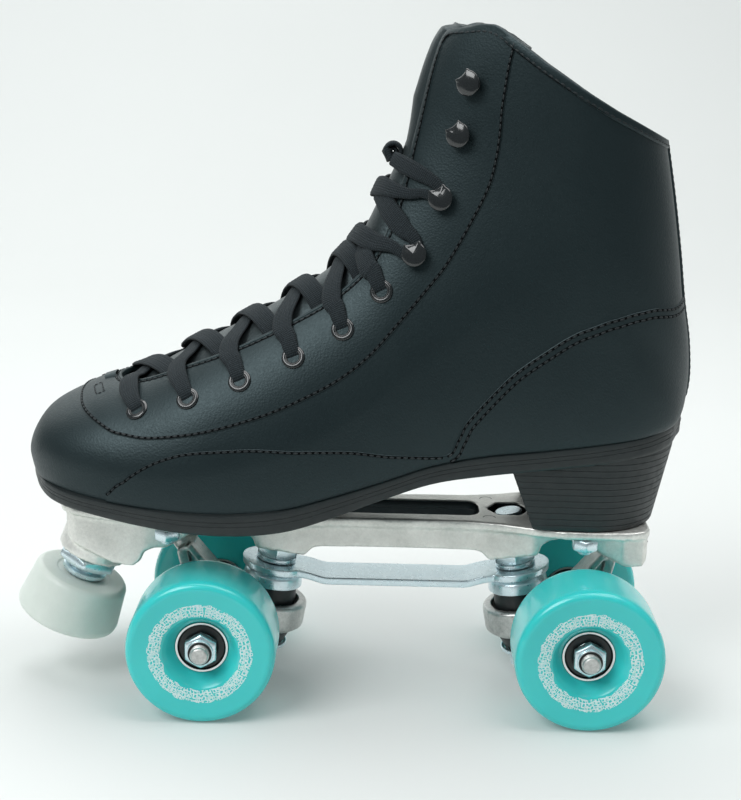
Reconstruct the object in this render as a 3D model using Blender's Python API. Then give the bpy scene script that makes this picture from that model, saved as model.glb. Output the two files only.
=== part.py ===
"""One left quad roller skate: a laced high-top boot on a cast plate with two sprung trucks.

Metres, +Z up, the toe towards -X and the boot's outer side towards -Y.
Everything is laid out in wheelbase coordinates, in millimetres: the middle of the wheelbase is x = 0
and the ground is z = 0. One empty then shifts it all, so that the skate's box is centred on the origin.
"""

from math import acos, asin, cos, pi, radians, sin

import bmesh
import bpy
from mathutils import Matrix, Vector

MM = 0.001
GAP = 0.3              # between pieces that touch
BOX_SHIFT = 22.0       # moves the wheelbase's middle so that the box is centred in x

# Running gear
AXLE_X = 80.0          # half the wheelbase
WHEEL_R = 31.0
WHEEL_SEGMENTS = 36
AXLE_Z = WHEEL_R * cos(pi / WHEEL_SEGMENTS)   # a wheel stands on a flat of its tread
WHEEL_IN, WHEEL_OUT = 24.7, 55.7              # the wheel's inner and outer faces, from the middle
BEARING_R, BEARING_BORE, BEARING_W = 11.0, 4.3, 7.0
OUTER_BEARING_Y, INNER_BEARING_Y = 41.2, 26.4
AXLE_R, AXLE_END = 4.0, 58.0
AXLE_NUT_AF, AXLE_NUT_W = 12.7, 6.0

# The kingpin leans outwards as it goes down. Places on it are distances down from the boss face.
KINGPIN_TILT = radians(10)
KINGPIN_TOP = Vector((-50.8, 0, 63.0))
DOWN = Vector((-sin(KINGPIN_TILT), 0, -cos(KINGPIN_TILT)))
KINGPIN_R, KINGPIN_HEAD_R = 5.0, 6.3
LOCK_NUT = (0.3, 10.1)
JUMP_BAR = (10.4, 13.6)
UPPER_RETAINER = (13.9, 20.4)
UPPER_CUSHION = (17.7, 31.5)
RING, RING_SEATS = (27.0, 40.0), (31.8, 37.2)
LOWER_CUSHION = (37.5, 46.6)
LOWER_RETAINER = (46.9, 49.6)
KINGPIN_HEAD = (49.9, 55.5)
KINGPIN_CAP = (-14.8, -9.4)     # its upper end, in the plate's hexagonal pocket
RING_R, RING_BORE, RING_SEAT_R = 17.0, 7.4, 13.0
CUSHION_R = 12.2

# The truck steers about the line from the pivot ball to the middle of the ring's seats.
PIVOT = Vector((-99.5, 0, 66.5))
RING_MID = KINGPIN_TOP + DOWN * (sum(RING_SEATS) / 2)
STEER = (PIVOT - RING_MID).normalized()
BALL_R, CUP_R, CUP_HOLE_R = 4.8, 8.0, 5.6

# The toe stop
STOP_TILT = radians(22)
STOP_FACE = Vector((-133.7, 0, 54.5))          # middle of the plate's boss face
STOP_DOWN = Vector((-sin(STOP_TILT), 0, -cos(STOP_TILT)))
STEM_R, STOP_BOSS_R = 7.9, 15.0
STOP_NUT = (0.3, 5.8)
STOP_RUBBER = (10.5, 32.0)
STOP_TOP_R, STOP_BOTTOM_R = 20.5, 22.8

# The plate
DECK_Z, DECK_T = 78.3, 3.6
SLOT = (-35.3, 35.3, 9.4, 5.5)                # its two ends, half width and corner radius
BOLTS = [(-97.0, 23.5), (79.0, 24.5)]         # x and |y| of the four mounting bolts
BOLT_R, BOLT_NUT_AF, BOLT_NUT_H, BOLT_END = 3.0, 10.0, 5.2, 7.0

# The boot's sections, from the toe to the top of the shaft. Each lies in a plane through Y:
# low point x, z; high point x, z; half width at the low point; greatest half width;
# how far up that lies; roundness above it; sideways shift of the last's centre line.
SECTIONS = [
    (-157.0, 96.5, -158.9, 103.0, 9.0, 11.0, 0.50, 2.2, 7.0),
    (-154.0, 94.8, -157.3, 111.5, 19.5, 21.0, 0.40, 2.2, 7.0),
    (-148.0, 93.5, -152.0, 120.0, 29.0, 30.5, 0.35, 2.2, 6.5),
    (-138.0, 92.2, -141.5, 126.3, 37.5, 39.0, 0.30, 2.2, 5.5),
    (-124.0, 91.0, -127.0, 131.3, 43.5, 45.0, 0.28, 2.1, 4.0),
    (-106.0, 89.8, -108.0, 138.5, 47.0, 48.5, 0.25, 1.9, 2.0),
    (-86.0, 88.8, -86.0, 150.5, 48.0, 49.5, 0.24, 1.8, 0.0),
    (-66.0, 88.6, -65.0, 162.0, 46.5, 48.0, 0.25, 1.7, -1.0),
    (-46.0, 90.3, -46.5, 173.5, 43.5, 45.5, 0.27, 1.6, -1.5),
    (-27.0, 94.7, -31.0, 184.5, 39.5, 42.5, 0.30, 1.55, -1.5),
    (-7.0, 100.3, -20.0, 197.0, 36.0, 40.0, 0.34, 1.5, -1.0),
    (14.0, 107.0, -13.0, 210.5, 33.5, 38.0, 0.38, 1.5, -0.5),
    (36.0, 111.0, -7.5, 222.5, 32.0, 37.0, 0.42, 1.5, 0.0),
    (60.0, 114.0, -3.0, 232.5, 32.5, 37.0, 0.45, 1.5, 0.0),
    (84.0, 117.5, 0.3, 242.0, 32.5, 37.5, 0.47, 1.5, 0.0),
    (102.0, 120.5, 2.8, 250.5, 28.0, 38.0, 0.48, 1.5, 0.0),
    (115.0, 124.5, 5.0, 258.0, 17.0, 38.5, 0.48, 1.55, 0.0),
    (120.8, 137.0, 7.0, 265.0, 0.8, 39.0, 0.47, 1.6, 0.0),
    (119.8, 155.0, 9.0, 271.0, 0.8, 39.5, 0.46, 1.6, 0.0),
    (116.5, 173.0, 10.8, 275.5, 0.8, 40.0, 0.45, 1.6, 0.0),
    (113.5, 193.0, 12.8, 279.0, 0.8, 40.5, 0.44, 1.6, 0.0),
    (109.5, 216.0, 14.7, 281.2, 0.8, 41.0, 0.43, 1.6, 0.0),
    (105.0, 238.5, 17.0, 283.0, 0.8, 41.5, 0.42, 1.6, 0.0),
]
HEEL_ROUND = 2.3       # roundness of a section below its widest point
THROAT_START = 4       # the section where the vamp ends and the quarters start
# Half the gap between the two eyestays, section by section from there
FLAP_EDGE = [7.0, 13.0, 17.5, 19.5, 20.5, 20.8, 21.5, 21.0, 17.5, 14.0, 11.5, 10.0, 8.6, 7.8, 7.3, 7.0, 6.8,
             7.4, 10.5]
LEATHER = 3.0

# The outsole: x, underside z, half width
SOLE = [
    (-155.6, 88.6, 12.0), (-152.0, 87.4, 21.5), (-146.0, 86.6, 32.0), (-137.0, 85.8, 39.8), (-124.0, 84.6, 45.0),
    (-105.0, 82.4, 48.6), (-86.0, 80.6, 49.6), (-66.0, 79.8, 48.2), (-46.0, 81.2, 45.0), (-27.0, 86.2, 41.0),
    (-7.0, 93.0, 37.4), (14.0, 99.6, 34.8), (36.0, 102.9, 33.4), (60.0, 106.0, 33.6), (84.0, 109.2, 33.4),
    (102.0, 112.0, 28.8), (112.0, 113.4, 19.5), (117.6, 114.2, 6.0),
]
HEEL_FRONT_TOP, HEEL_FRONT_BOTTOM = 46.5, 56.5
HEEL_BACK_TOP, HEEL_BACK_BOTTOM = 117.0, 110.0
HEEL_W_TOP, HEEL_W_BOTTOM = 33.0, 29.5

# Lace rows, from the toe up: eyelets first and then hooks, as x, z in the side view
EYELETS = [(-108.3, 125.3), (-87.6, 130.5), (-66.2, 138.6), (-44.2, 149.2), (-24.3, 161.4), (-8.9, 177.4)]
HOOKS = [(2.6, 197.1), (11.8, 218.7), (18.4, 244.1), (22.0, 263.2)]
LACE_R = 1.3
LACE_OUT = 2.9          # the lace's middle, off the boot's surface
LACE_OVER = 3.4         # how much higher it passes over its other half
HOOK_STEM_R, HOOK_DISC = 2.1, (4.7, 6.1)


# ---------------------------------------------------------------- small tools

def clear_scene():
    for old in list(bpy.data.objects):
        bpy.data.objects.remove(old, do_unlink=True)


def material(name, colour, roughness, metallic=0.0):
    made = bpy.data.materials.new(name)
    made.use_nodes = True
    shader = made.node_tree.nodes["Principled BSDF"]
    shader.inputs["Base Color"].default_value = (*colour, 1.0)
    shader.inputs["Roughness"].default_value = roughness
    shader.inputs["Metallic"].default_value = metallic
    return made


def empty(name, location=(0, 0, 0), turn_z=0.0, parent=None):
    made = bpy.data.objects.new(name, None)
    bpy.context.scene.collection.objects.link(made)
    made.location = Vector(location) * MM
    made.rotation_euler = (0, 0, turn_z)
    made.parent = parent
    return made


def mesh_of(name, points, faces):
    """A mesh in metres from points in millimetres, its faces turned outwards."""
    mesh = bpy.data.meshes.new(name)
    mesh.from_pydata([Vector(p) * MM for p in points], [], faces)
    made = bmesh.new()
    made.from_mesh(mesh)
    bmesh.ops.recalc_face_normals(made, faces=made.faces)
    made.to_mesh(mesh)
    made.free()
    return mesh


def place(name, mesh, look, parent, location=(0, 0, 0), smooth=True):
    """An object whose origin is at location, from a mesh laid out in its parent's coordinates."""
    made = bpy.data.objects.new(name, mesh)
    bpy.context.scene.collection.objects.link(made)
    made.parent = parent
    made.location = Vector(location) * MM
    if not mesh.materials:
        mesh.materials.append(look)
    if smooth:
        mesh.shade_smooth()
        mesh.set_sharp_from_angle(angle=radians(35))
    return made


def moved(mesh, offset):
    mesh.transform(Matrix.Translation(Vector(offset) * MM))
    return mesh


def grid_faces(rows, columns, closed_columns=False):
    """Faces of a grid of points numbered row by row."""
    across = columns if closed_columns else columns - 1
    faces = []
    for i in range(rows - 1):
        for j in range(across):
            k = (j + 1) % columns
            faces.append((i * columns + j, i * columns + k, (i + 1) * columns + k, (i + 1) * columns + j))
    return faces


def tube_of_rings(name, rings):
    """A closed body through rings of points, its two ends capped."""
    columns = len(rings[0])
    points = [p for ring in rings for p in ring]
    faces = grid_faces(len(rings), columns, closed_columns=True)
    last = (len(rings) - 1) * columns
    faces += [tuple(range(columns)), tuple(range(last, last + columns))]
    return mesh_of(name, points, faces)


def turned(name, profile, segments, centre=(0, 0, 0), axis=(0, 1, 0), half_step=False):
    """A body turned about an axis: the profile is a closed loop of radius, distance along the axis."""
    axis = Vector(axis).normalized()
    side = axis.cross(Vector((0, 1, 0)))
    side = side.normalized() if side.length > 0.1 else Vector((1, 0, 0))
    other = axis.cross(side)
    start = pi / segments if half_step else 0.0
    on_axis = [i for i, (r, _) in enumerate(profile) if r == 0]
    points, index = [], {}
    for i, (r, along) in enumerate(profile):
        for k in range(1 if r == 0 else segments):
            angle = start + 2 * pi * k / segments
            index[i, k] = len(points)
            points.append(Vector(centre) + axis * along + (side * cos(angle) + other * sin(angle)) * r)
    faces = []
    loop = len(profile)
    for i in range(loop):
        j = (i + 1) % loop
        if i in on_axis and j in on_axis:
            continue
        for k in range(segments):
            n = (k + 1) % segments
            corners = [
                index[i, 0 if i in on_axis else k], index[i, 0 if i in on_axis else n],
                index[j, 0 if j in on_axis else n], index[j, 0 if j in on_axis else k],
            ]
            faces.append(tuple(dict.fromkeys(corners)))
    return mesh_of(name, points, faces)


def rod(name, r, start, end, axis, centre, segments):
    return turned(name, [(0, start), (r, start), (r, end), (0, end)], segments, centre, axis)


def hexagon_nut(name, across_flats, bore, start, end, axis, centre, bore_sides=18):
    """A nut: a hexagon with chamfered corners, and a round bore."""
    corner = across_flats / 2 / cos(radians(30))
    nut = turned(name, [(0, start), (corner, start), (corner, end), (0, end)], 6, centre, axis)
    if bore:
        nut = cut(nut, [rod("bore", bore, start - 2, end + 2, axis, centre, bore_sides)])
    return nut


def prism(name, outline, low, high, plane="XZ"):
    """An outline of two coordinates, drawn out along the third from low to high."""
    rings = []
    for level in (low, high):
        if plane == "XZ":
            rings.append([(a, level, b) for a, b in outline])
        else:
            rings.append([(a, b, level) for a, b in outline])
    return tube_of_rings(name, rings)


def combined(base, others, operation):
    """The base mesh after a Boolean with each of the others."""
    body = bpy.data.objects.new("body", base)
    bpy.context.scene.collection.objects.link(body)
    tools = []
    for other in others:
        tool = bpy.data.objects.new("tool", other)
        bpy.context.scene.collection.objects.link(tool)
        step = body.modifiers.new(operation, "BOOLEAN")
        step.operation = operation
        step.solver = "EXACT"
        step.object = tool
        tools.append(tool)
    bpy.context.view_layer.update()
    graph = bpy.context.evaluated_depsgraph_get()
    result = bpy.data.meshes.new_from_object(body.evaluated_get(graph))
    for made in [body, *tools]:
        bpy.data.objects.remove(made, do_unlink=True)
    return result


def cut(base, tools):
    return combined(base, tools, "DIFFERENCE")


def joined(base, others):
    return combined(base, others, "UNION")


def along(points, x):
    """Straight-line reading of a table whose rows start with x."""
    for a, b in zip(points, points[1:]):
        if x <= b[0] or b is points[-1]:
            share = min(1.0, max(0.0, (x - a[0]) / (b[0] - a[0])))
            return [p + share * (q - p) for p, q in zip(a, b)]


# ---------------------------------------------------------------- the boot

def section_point(section, angle, side, inset):
    """A point of a section. The angle runs from -90 degrees at the low point, through 0 at the widest, to 90 on top."""
    low_x, low_z, high_x, high_z, low_w, wide, wide_at, roundness, shift = section
    low, high = Vector((low_x, 0, low_z)), Vector((high_x, 0, high_z))
    rise = (high - low).normalized()
    low, high = low + rise * inset, high - rise * inset
    low_w, wide = max(low_w - inset, 0.5), wide - inset
    if angle < 0:
        share = wide_at * (1 - cos(angle + pi / 2) ** (2 / HEEL_ROUND))
        width = low_w + (wide - low_w) * sin(angle + pi / 2)
    else:
        share = wide_at + (1 - wide_at) * sin(angle) ** (2 / roundness)
        width = wide * cos(angle)
    at = low + (high - low) * share
    return Vector((at.x, shift + side * width, at.z))


def shell(name, rows_outer, rows_inner):
    """A sheet with thickness: two grids of points joined round their edges."""
    rows, columns = len(rows_outer), len(rows_outer[0])
    points = [p for row in rows_outer for p in row] + [p for row in rows_inner for p in row]
    faces = grid_faces(rows, columns)
    back = rows * columns
    faces += [tuple(back + i for i in reversed(face)) for face in grid_faces(rows, columns)]
    rim = [j for j in range(columns)]
    rim += [i * columns + columns - 1 for i in range(1, rows)]
    rim += [(rows - 1) * columns + j for j in reversed(range(columns - 1))]
    rim += [i * columns for i in reversed(range(1, rows - 1))]
    for a, b in zip(rim, rim[1:] + rim[:1]):
        faces.append((a, back + a, back + b, b))
    return mesh_of(name, points, faces)


def vamp():
    """The toe, both sides in one: rows are sections, and columns run over the top from side to side."""
    angles = [-pi / 2, -pi / 4, 0.0, pi / 8, pi / 4, 3 * pi / 8]
    columns = [(-1, a) for a in angles] + [(1, pi / 2)] + [(1, a) for a in reversed(angles)]
    grids = []
    for inset in (0.0, LEATHER):
        rows = [[section_point(s, a, side, inset) for side, a in columns] for s in SECTIONS[1:THROAT_START + 1]]
        tip = SECTIONS[0]
        first = [section_point(tip, a, side, min(inset, 2.0)) + Vector((inset * 1.2, 0, 0)) for side, a in columns]
        grids.append([first] + rows)
    for grid in grids:
        grid[-1] = [p - Vector((GAP, 0, 0)) for p in grid[-1]]
    body = shell("vamp", *grids)
    # the first row closes on a flat nose, so a small plug fills it from low to high
    nose = [p - Vector((0.9, 0, 0)) for p in grids[0][0]]
    plug = tube_of_rings("nose", [nose, [p + Vector((2.6, 0, 0)) for p in grids[0][0]]])
    return joined(body, [plug])


def quarter(side):
    """One side of the boot, from the sole or the back seam to the edge of its eyestay."""
    grids = []
    for inset in (0.0, LEATHER):
        rows = []
        for section, gap in zip(SECTIONS[THROAT_START:], FLAP_EDGE):
            edge = acos((gap - inset * 0.2) / (section[5] - inset))
            angles = [-pi / 2, -pi / 3, -pi / 6, 0.0] + [edge * k / 5 for k in range(1, 6)]
            rows.append([section_point(section, a, side, inset) for a in angles])
        grids.append(rows)
    for grid in grids:
        grid[0] = [p + Vector((GAP, 0, 0)) for p in grid[0]]
    return shell("quarter", *grids)


def strip_on_boot(name, sections, angles_of, low, high):
    """A sheet that follows the boot from side to side, between two insets."""
    grids = []
    for inset in (low, high):
        grids.append([[section_point(s, a, side, inset) for side, a in angles_of(s)] for s in sections])
    return shell(name, *grids)


def backstay():
    """The strip over the back seam."""
    def across(section):
        reach = [-pi / 2 + asin(min(1.0, w / section[5])) for w in (7.5, 3.5)]
        return [(-1, reach[0]), (-1, reach[1]), (1, reach[1]), (1, reach[0])]
    return strip_on_boot("backstay", SECTIONS[17:], across, -1.6, -GAP)


def tongue():
    """The tongue, just under the two eyestays."""
    def across(section):
        reach = [acos(w / section[5]) for w in (25.0, 18.0, 12.0, 6.0)]
        return [(-1, a) for a in reach] + [(1, pi / 2)] + [(1, a) for a in reversed(reach)]
    return strip_on_boot("tongue", SECTIONS[THROAT_START:], across, LEATHER + 1.2, LEATHER + 4.2)


def plan_ring(x, half_width, shift, low_z, high_z, bevel=0.0):
    """One crosswise slice of a sole-like piece, as a closed ring."""
    narrow = half_width - bevel
    return [
        (x, shift - narrow, low_z), (x, shift + narrow, low_z), (x, shift + half_width, low_z + bevel),
        (x, shift + half_width, high_z), (x, shift - half_width, high_z), (x, shift - half_width, low_z + bevel),
    ]


def feather(x):
    """Height of the boot's lower edge, half width there and sideways shift, at x."""
    low = [(s[0], s[1], s[4], s[8]) for s in SECTIONS[:17]]
    return along(low, x)[1:]


def outsole():
    rings = []
    for x, under, half_width in SOLE:
        top, _, shift = feather(x)
        rings.append(plan_ring(x, half_width, shift, under, min(top, 121.2) - GAP, bevel=0.8))
    return tube_of_rings("outsole", rings)


def insole():
    rings = []
    for x in (-146.0, -137.0, -124.0, -106.0, -86.0, -66.0, -46.0, -27.0, -7.0, 14.0, 36.0, 60.0, 84.0, 98.0, 106.0):
        top, half_width, shift = feather(x)
        narrow = half_width - LEATHER - 1.8
        if x > 100:
            narrow = 13.0
        rings.append(plan_ring(x, narrow, shift, top + 0.2, top + 3.0))
    return tube_of_rings("insole", rings)


def heel_outline(front, back, half_width, z_of):
    """Half-round back and straight front, as points of one level of the heel."""
    radius = half_width * 1.02
    centre = back - radius
    side = [(front, half_width * 0.96), (front + 8, half_width * 0.985), (centre, half_width)]
    side += [(centre + radius * sin(a), half_width * cos(a)) for a in (pi / 8, pi / 4, 3 * pi / 8, 0.47 * pi)]
    ring = side + [(x, -y) for x, y in reversed(side)]
    return [(x, y, z_of(x)) for x, y in ring]


def heel_block():
    def under_sole(x):
        return along(SOLE, x)[1] - GAP
    levels = [
        heel_outline(HEEL_FRONT_TOP, HEEL_BACK_TOP, HEEL_W_TOP, under_sole),
        heel_outline(HEEL_FRONT_BOTTOM, HEEL_BACK_BOTTOM, HEEL_W_BOTTOM, lambda x: DECK_Z + GAP),
    ]
    block = tube_of_rings("heel_block", levels)
    bores = [rod("bore", BOLT_R + GAP, 60, 140, (0, 0, 1), (x, s * y, 0), 12) for x, y in BOLTS[1:] for s in (-1, 1)]
    return cut(block, bores)


def on_boot(x, z, side, out):
    """The point of the boot's surface at x, z in the side view, out millimetres off it."""
    for a, b in zip(SECTIONS, SECTIONS[1:]):
        for k in range(21):
            share = k / 20
            section = [p + share * (q - p) for p, q in zip(a, b)]
            low, high = Vector(section[0:2]), Vector(section[2:4])
            rise = high - low
            off = Vector((x, z)) - low
            distance = abs(rise.x * off.y - rise.y * off.x) / rise.length
            if distance < 0.6:
                up = off.dot(rise) / rise.length_squared
                if 0 <= up <= 1:
                    return point_off(section, up, side, out)
    raise ValueError(f"({x}, {z}) isn't on the boot")


def point_off(section, up, side, out):
    wide_at, roundness = section[6], section[7]
    if up >= wide_at:
        angle = asin(((up - wide_at) / (1 - wide_at)) ** (roundness / 2))
    else:
        angle = acos(((wide_at - up) / wide_at) ** (HEEL_ROUND / 2)) - pi / 2
    return section_point(section, angle, side, -out)


def off_boot(x, z, side):
    """The direction straight off the boot's surface."""
    forward = on_boot(x - 2, z, side, 0) - on_boot(x + 2, z, side, 0)
    upward = on_boot(x, z + 2, side, 0) - on_boot(x, z - 2, side, 0)
    straight = forward.cross(upward).normalized()
    return straight if straight.y * side > 0 else -straight


def lifted(x, z, side, out):
    return on_boot(x, z, side, 0) + off_boot(x, z, side) * out


def nearest_section(point):
    """The section, read between two of the table's, that a point over the tongue lies in."""
    best, least = None, None
    for a, b in zip(SECTIONS, SECTIONS[1:]):
        for k in range(20):
            section = [p + k / 20 * (q - p) for p, q in zip(a, b)]
            rise = Vector((section[2] - section[0], section[3] - section[1])).normalized()
            off = Vector((point.x - section[0], point.z - section[1]))
            miss = abs(rise.x * off.y - rise.y * off.x)
            if off.dot(rise) > 0 and (least is None or miss < least):
                best, least = section, miss
    return best


def over_tongue(start, end, hump):
    """Points that carry the lace over the boot from one place to another, hump millimetres higher halfway."""
    made = []
    for step in range(1, 8):
        straight = start.lerp(end, step / 8)
        section = nearest_section(straight)
        across = straight.y - section[8]
        angle = acos(min(1.0, abs(across) / section[5]))
        out = LACE_OUT + hump * sin(pi * step / 8) ** 2
        made.append(section_point(section, angle, -1 if across < 0 else 1, -out))
    return made


def round_hook(row, side, upwards):
    """Points of the lace round the back of a hook's stem."""
    x, z = HOOKS[row]
    above = Vector(HOOKS[row + 1]) - Vector(HOOKS[row])
    along_stay = above.normalized()
    away = Vector((along_stay.y, -along_stay.x))
    reach = HOOK_STEM_R + LACE_R + 1.0
    out = LACE_OUT + 0.3
    turn = []
    for step in range(5):
        angle = radians(-90 + 45 * step)
        at = Vector((x, z)) + along_stay * (reach * sin(angle)) + away * (reach * cos(angle))
        turn.append(lifted(at.x, at.y, side, out))
    return turn if upwards else turn[::-1]


def lace_route():
    """One half of the lace zigzags down from the knot, crosses the toe end, and the other half zigzags up."""
    count = len(EYELETS) + 2

    def at_hole(row, side, upwards):
        if row < len(EYELETS):
            return [on_boot(*EYELETS[row], side, LACE_OUT)]
        return round_hook(row - len(EYELETS), side, upwards)

    def knot_end(side, near):
        section = nearest_section(near)
        return section_point(section, acos(4.0 / section[5]), side, -LACE_OUT)

    down, up = [], []
    for row in range(count):
        side = 1 if row % 2 else -1
        down.append(at_hole(row, side, upwards=False))
        up.append(at_hole(row, -side, upwards=True))
    last_side = 1 if (count - 1) % 2 else -1
    high = down[-1][0]
    route = [knot_end(last_side, high)] + over_tongue(knot_end(last_side, high), high, 0.0)
    for row in range(count - 1, 0, -1):
        route += down[row]
        route += over_tongue(down[row][-1], down[row - 1][0], 0.0)
    route += down[0]
    route += over_tongue(down[0][-1], up[0][0], 0.0)
    for row in range(count - 1):
        route += up[row]
        route += over_tongue(up[row][-1], up[row + 1][0], LACE_OVER)
    route += up[-1]
    high = up[-1][-1]
    route += over_tongue(high, knot_end(-last_side, high), 0.0) + [knot_end(-last_side, high)]
    return route


def lace(look, parent):
    route = lace_route()
    curve = bpy.data.curves.new("lace", "CURVE")
    curve.dimensions = "3D"
    spline = curve.splines.new("POLY")
    spline.points.add(len(route) - 1)
    for point, at in zip(spline.points, route):
        point.co = (*(at * MM), 1)
    curve.bevel_depth = LACE_R * MM
    curve.bevel_resolution = 1
    curve.use_fill_caps = True
    curve.materials.append(look)
    made = bpy.data.objects.new("lace", curve)
    bpy.context.scene.collection.objects.link(made)
    made.parent = parent


def hook_strip(side):
    """The four hooks of one side, riveted through one stay."""
    rings = []
    first, last = Vector(HOOKS[0]), Vector(HOOKS[-1])
    ends = [first - Vector((3, 6))]
    for low, high in zip(HOOKS, HOOKS[1:]):
        ends += [Vector(low), Vector(low).lerp(Vector(high), 1 / 3), Vector(low).lerp(Vector(high), 2 / 3)]
    for x, z in [*ends, last, last + Vector((1, 5))]:
        rings.append([lifted(x + reach, z, side, out) for reach, out in ((-3, 0.6), (3, 0.6), (3, 1.2), (-3, 1.2))])
    stay = tube_of_rings("hooks", rings)
    low, high = HOOK_DISC
    profile = [(0, 0), (HOOK_STEM_R, 0), (HOOK_STEM_R, low), (4.8, low), (4.8, high - 0.6), (0, high)]
    studs = [turned("stud", profile, 8, lifted(x, z, side, 0.8), off_boot(x, z, side)) for x, z in HOOKS]
    return joined(stay, studs)


# ---------------------------------------------------------------- the plate

DECK_EDGE = [
    (-145.0, 9.0), (-143.0, 14.0), (-138.0, 18.0), (-128.0, 20.5), (-118.0, 21.5), (-108.0, 25.0), (-98.0, 28.5),
    (-85.0, 28.5), (-70.0, 26.0), (-58.0, 23.5), (-45.0, 20.2), (-30.0, 18.4), (0.0, 17.9), (30.0, 18.4),
    (45.0, 21.2), (58.0, 26.0), (70.0, 29.5), (85.0, 30.0), (98.0, 29.0), (104.0, 26.5), (106.5, 22.0),
]
WALL_EDGE = [
    (-142.0, 12.0), (-138.0, 15.5), (-128.0, 17.5), (-118.0, 18.0), (-108.0, 18.5), (-98.0, 17.5), (-85.0, 18.0),
    (-70.0, 19.0), (-58.0, 20.0), (-45.0, 19.0), (-30.0, 17.4), (0.0, 16.9), (30.0, 17.4), (45.0, 19.6),
    (58.0, 21.5), (70.0, 19.5), (79.0, 18.5), (88.0, 20.5), (95.0, 24.5), (104.0, 24.0), (106.0, 21.0),
]
WALL_SIDE = [
    (-143.5, 76.5), (-141.5, 66.0), (-139.0, 63.5), (-121.0, 55.0), (-112.5, 54.5), (-109.5, 57.0), (-107.8, 61.0),
    (-104.0, 62.6), (-99.0, 62.6), (-92.0, 66.5), (-86.0, 70.5), (-78.0, 72.0), (-65.0, 71.0), (-61.5, 69.0),
    (-60.0, 64.6), (-39.5, 61.0), (-36.0, 64.4), (-32.0, 65.0), (32.0, 65.0), (36.0, 64.4), (39.5, 61.0),
    (60.0, 64.6), (61.5, 69.0), (65.0, 71.0), (74.0, 72.0), (80.0, 70.0), (87.0, 65.0), (97.0, 61.4), (104.0, 61.6),
    (106.0, 64.0), (106.3, 76.5),
]


def both_sides(edge):
    return [(x, -y) for x, y in edge] + [(x, y) for x, y in reversed(edge)]


def rounded_slot(x0, x1, half_width, radius, steps=3):
    """A rectangle with rounded corners, symmetric about the middle line."""
    y = half_width - radius
    corners = [(x1 - radius, y, 0), (x0 + radius, y, 1), (x0 + radius, -y, 2), (x1 - radius, -y, 3)]
    turns = [(x, y, pi / 2 * (k + j / steps)) for x, y, k in corners for j in range(steps + 1)]
    return [(x + radius * cos(a), y + radius * sin(a)) for x, y, a in turns]


def in_rear(vector):
    """The same place on the rear truck, which is the front one turned about Z."""
    return Vector((-vector.x, -vector.y, vector.z))


def plate():
    ramp = [(-146.0, DECK_Z - 0.9), (-112.0, DECK_Z - DECK_T), (107.0, DECK_Z - DECK_T), (107.0, DECK_Z),
            (-112.0, DECK_Z), (-146.0, DECK_Z + 2.6)]
    deck = combined(prism("deck", both_sides(DECK_EDGE), 60, 90, "XY"), [prism("ramp", ramp, -40, 40)], "INTERSECT")
    walls = combined(prism("walls", both_sides(WALL_EDGE), 50, 80, "XY"), [prism("side", WALL_SIDE, -40, 40)],
                     "INTERSECT")
    boss = rod("boss", STOP_BOSS_R, -21, 0, STOP_DOWN, STOP_FACE, 24)
    body = joined(walls, [deck, boss])
    inner = DECK_Z - DECK_T - 0.5
    pockets = [
        prism("middle", [(-35.6, 50), (35.6, 50), (35.4, inner), (-35.4, inner)], -13.4, 13.4),
        prism("front", [(-90, 50), (-63, 50), (-63, inner), (-86, inner)], -14.5, 14.5),
        prism("rear", [(63, 50), (88, 50), (86, inner), (63, inner)], -14.5, 14.5),
        prism("slot", rounded_slot(*SLOT), 70, 90, "XY"),
        rod("stem", STEM_R + 0.4, -40, 10, STOP_DOWN, STOP_FACE, 24),
    ]
    for turn in (lambda v: v, in_rear):
        top, down, steer, pivot = turn(KINGPIN_TOP), turn(DOWN), turn(STEER), turn(PIVOT)
        pockets.append(rod("kingpin", KINGPIN_R + 0.4, -30, 20, down, top, 20))
        pockets.append(turned("hex", [(0, -40), (9.0, -40), (9.0, -9.0), (0, -9.0)], 6, top, down))
        pockets.append(rod("cup", CUP_R + 0.4, -26, 7.4, steer, pivot, 20))
    for x, y in BOLTS:
        for side in (-1, 1):
            pockets.append(rod("bolt", BOLT_R + 0.4, 60, 90, (0, 0, 1), (x, side * y, 0), 12))
    return cut(body, pockets)


def jump_bar():
    """A flat bar between the two kingpins. Its ends are bent square to them."""
    top = KINGPIN_TOP + DOWN * JUMP_BAR[0]
    thick = JUMP_BAR[1] - JUMP_BAR[0]
    rise = sin(KINGPIN_TILT) / cos(KINGPIN_TILT)
    low, high, end, drop = 31.0, 38.0, 68.0, 4.8
    middle_z, high_z, end_z = top.z - drop, top.z + rise * (top.x + high), top.z + rise * (top.x + end)
    side = [(-end, end_z), (-high, high_z), (-low, middle_z), (low, middle_z), (high, high_z), (end, end_z)]
    outline = side + [(x, z - thick) for x, z in reversed(side)]
    bar = prism("jump_bar", outline, -20, 20)
    centre = abs((KINGPIN_TOP + DOWN * JUMP_BAR[0]).x) + 0.4
    half = [(centre + 14.2 * sin(a), 14.2 * cos(a)) for a in (-0.25 * pi, -0.1, 0.12 * pi, 0.25 * pi, 0.38 * pi, pi / 2)]
    neck = [(0.0, 10.0), (30.0, 10.0), (centre - 14.0, 10.0)]
    quarter_line = neck + half
    plan = quarter_line + [(x, -y) for x, y in reversed(quarter_line[:-1])]
    plan += [(-x, -y) for x, y in quarter_line[1:]] + [(-x, y) for x, y in reversed(quarter_line[1:-1])]
    bar = combined(bar, [prism("plan", plan, 30, 70, "XY")], "INTERSECT")
    holes = [rod("hole", KINGPIN_R + 0.4, 0, 30, turn(DOWN), turn(KINGPIN_TOP), 20) for turn in (lambda v: v, in_rear)]
    return cut(bar, holes)


# ---------------------------------------------------------------- one truck, the front one

def on_kingpin(name, profile, segments=24):
    return turned(name, profile, segments, KINGPIN_TOP, DOWN)


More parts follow.
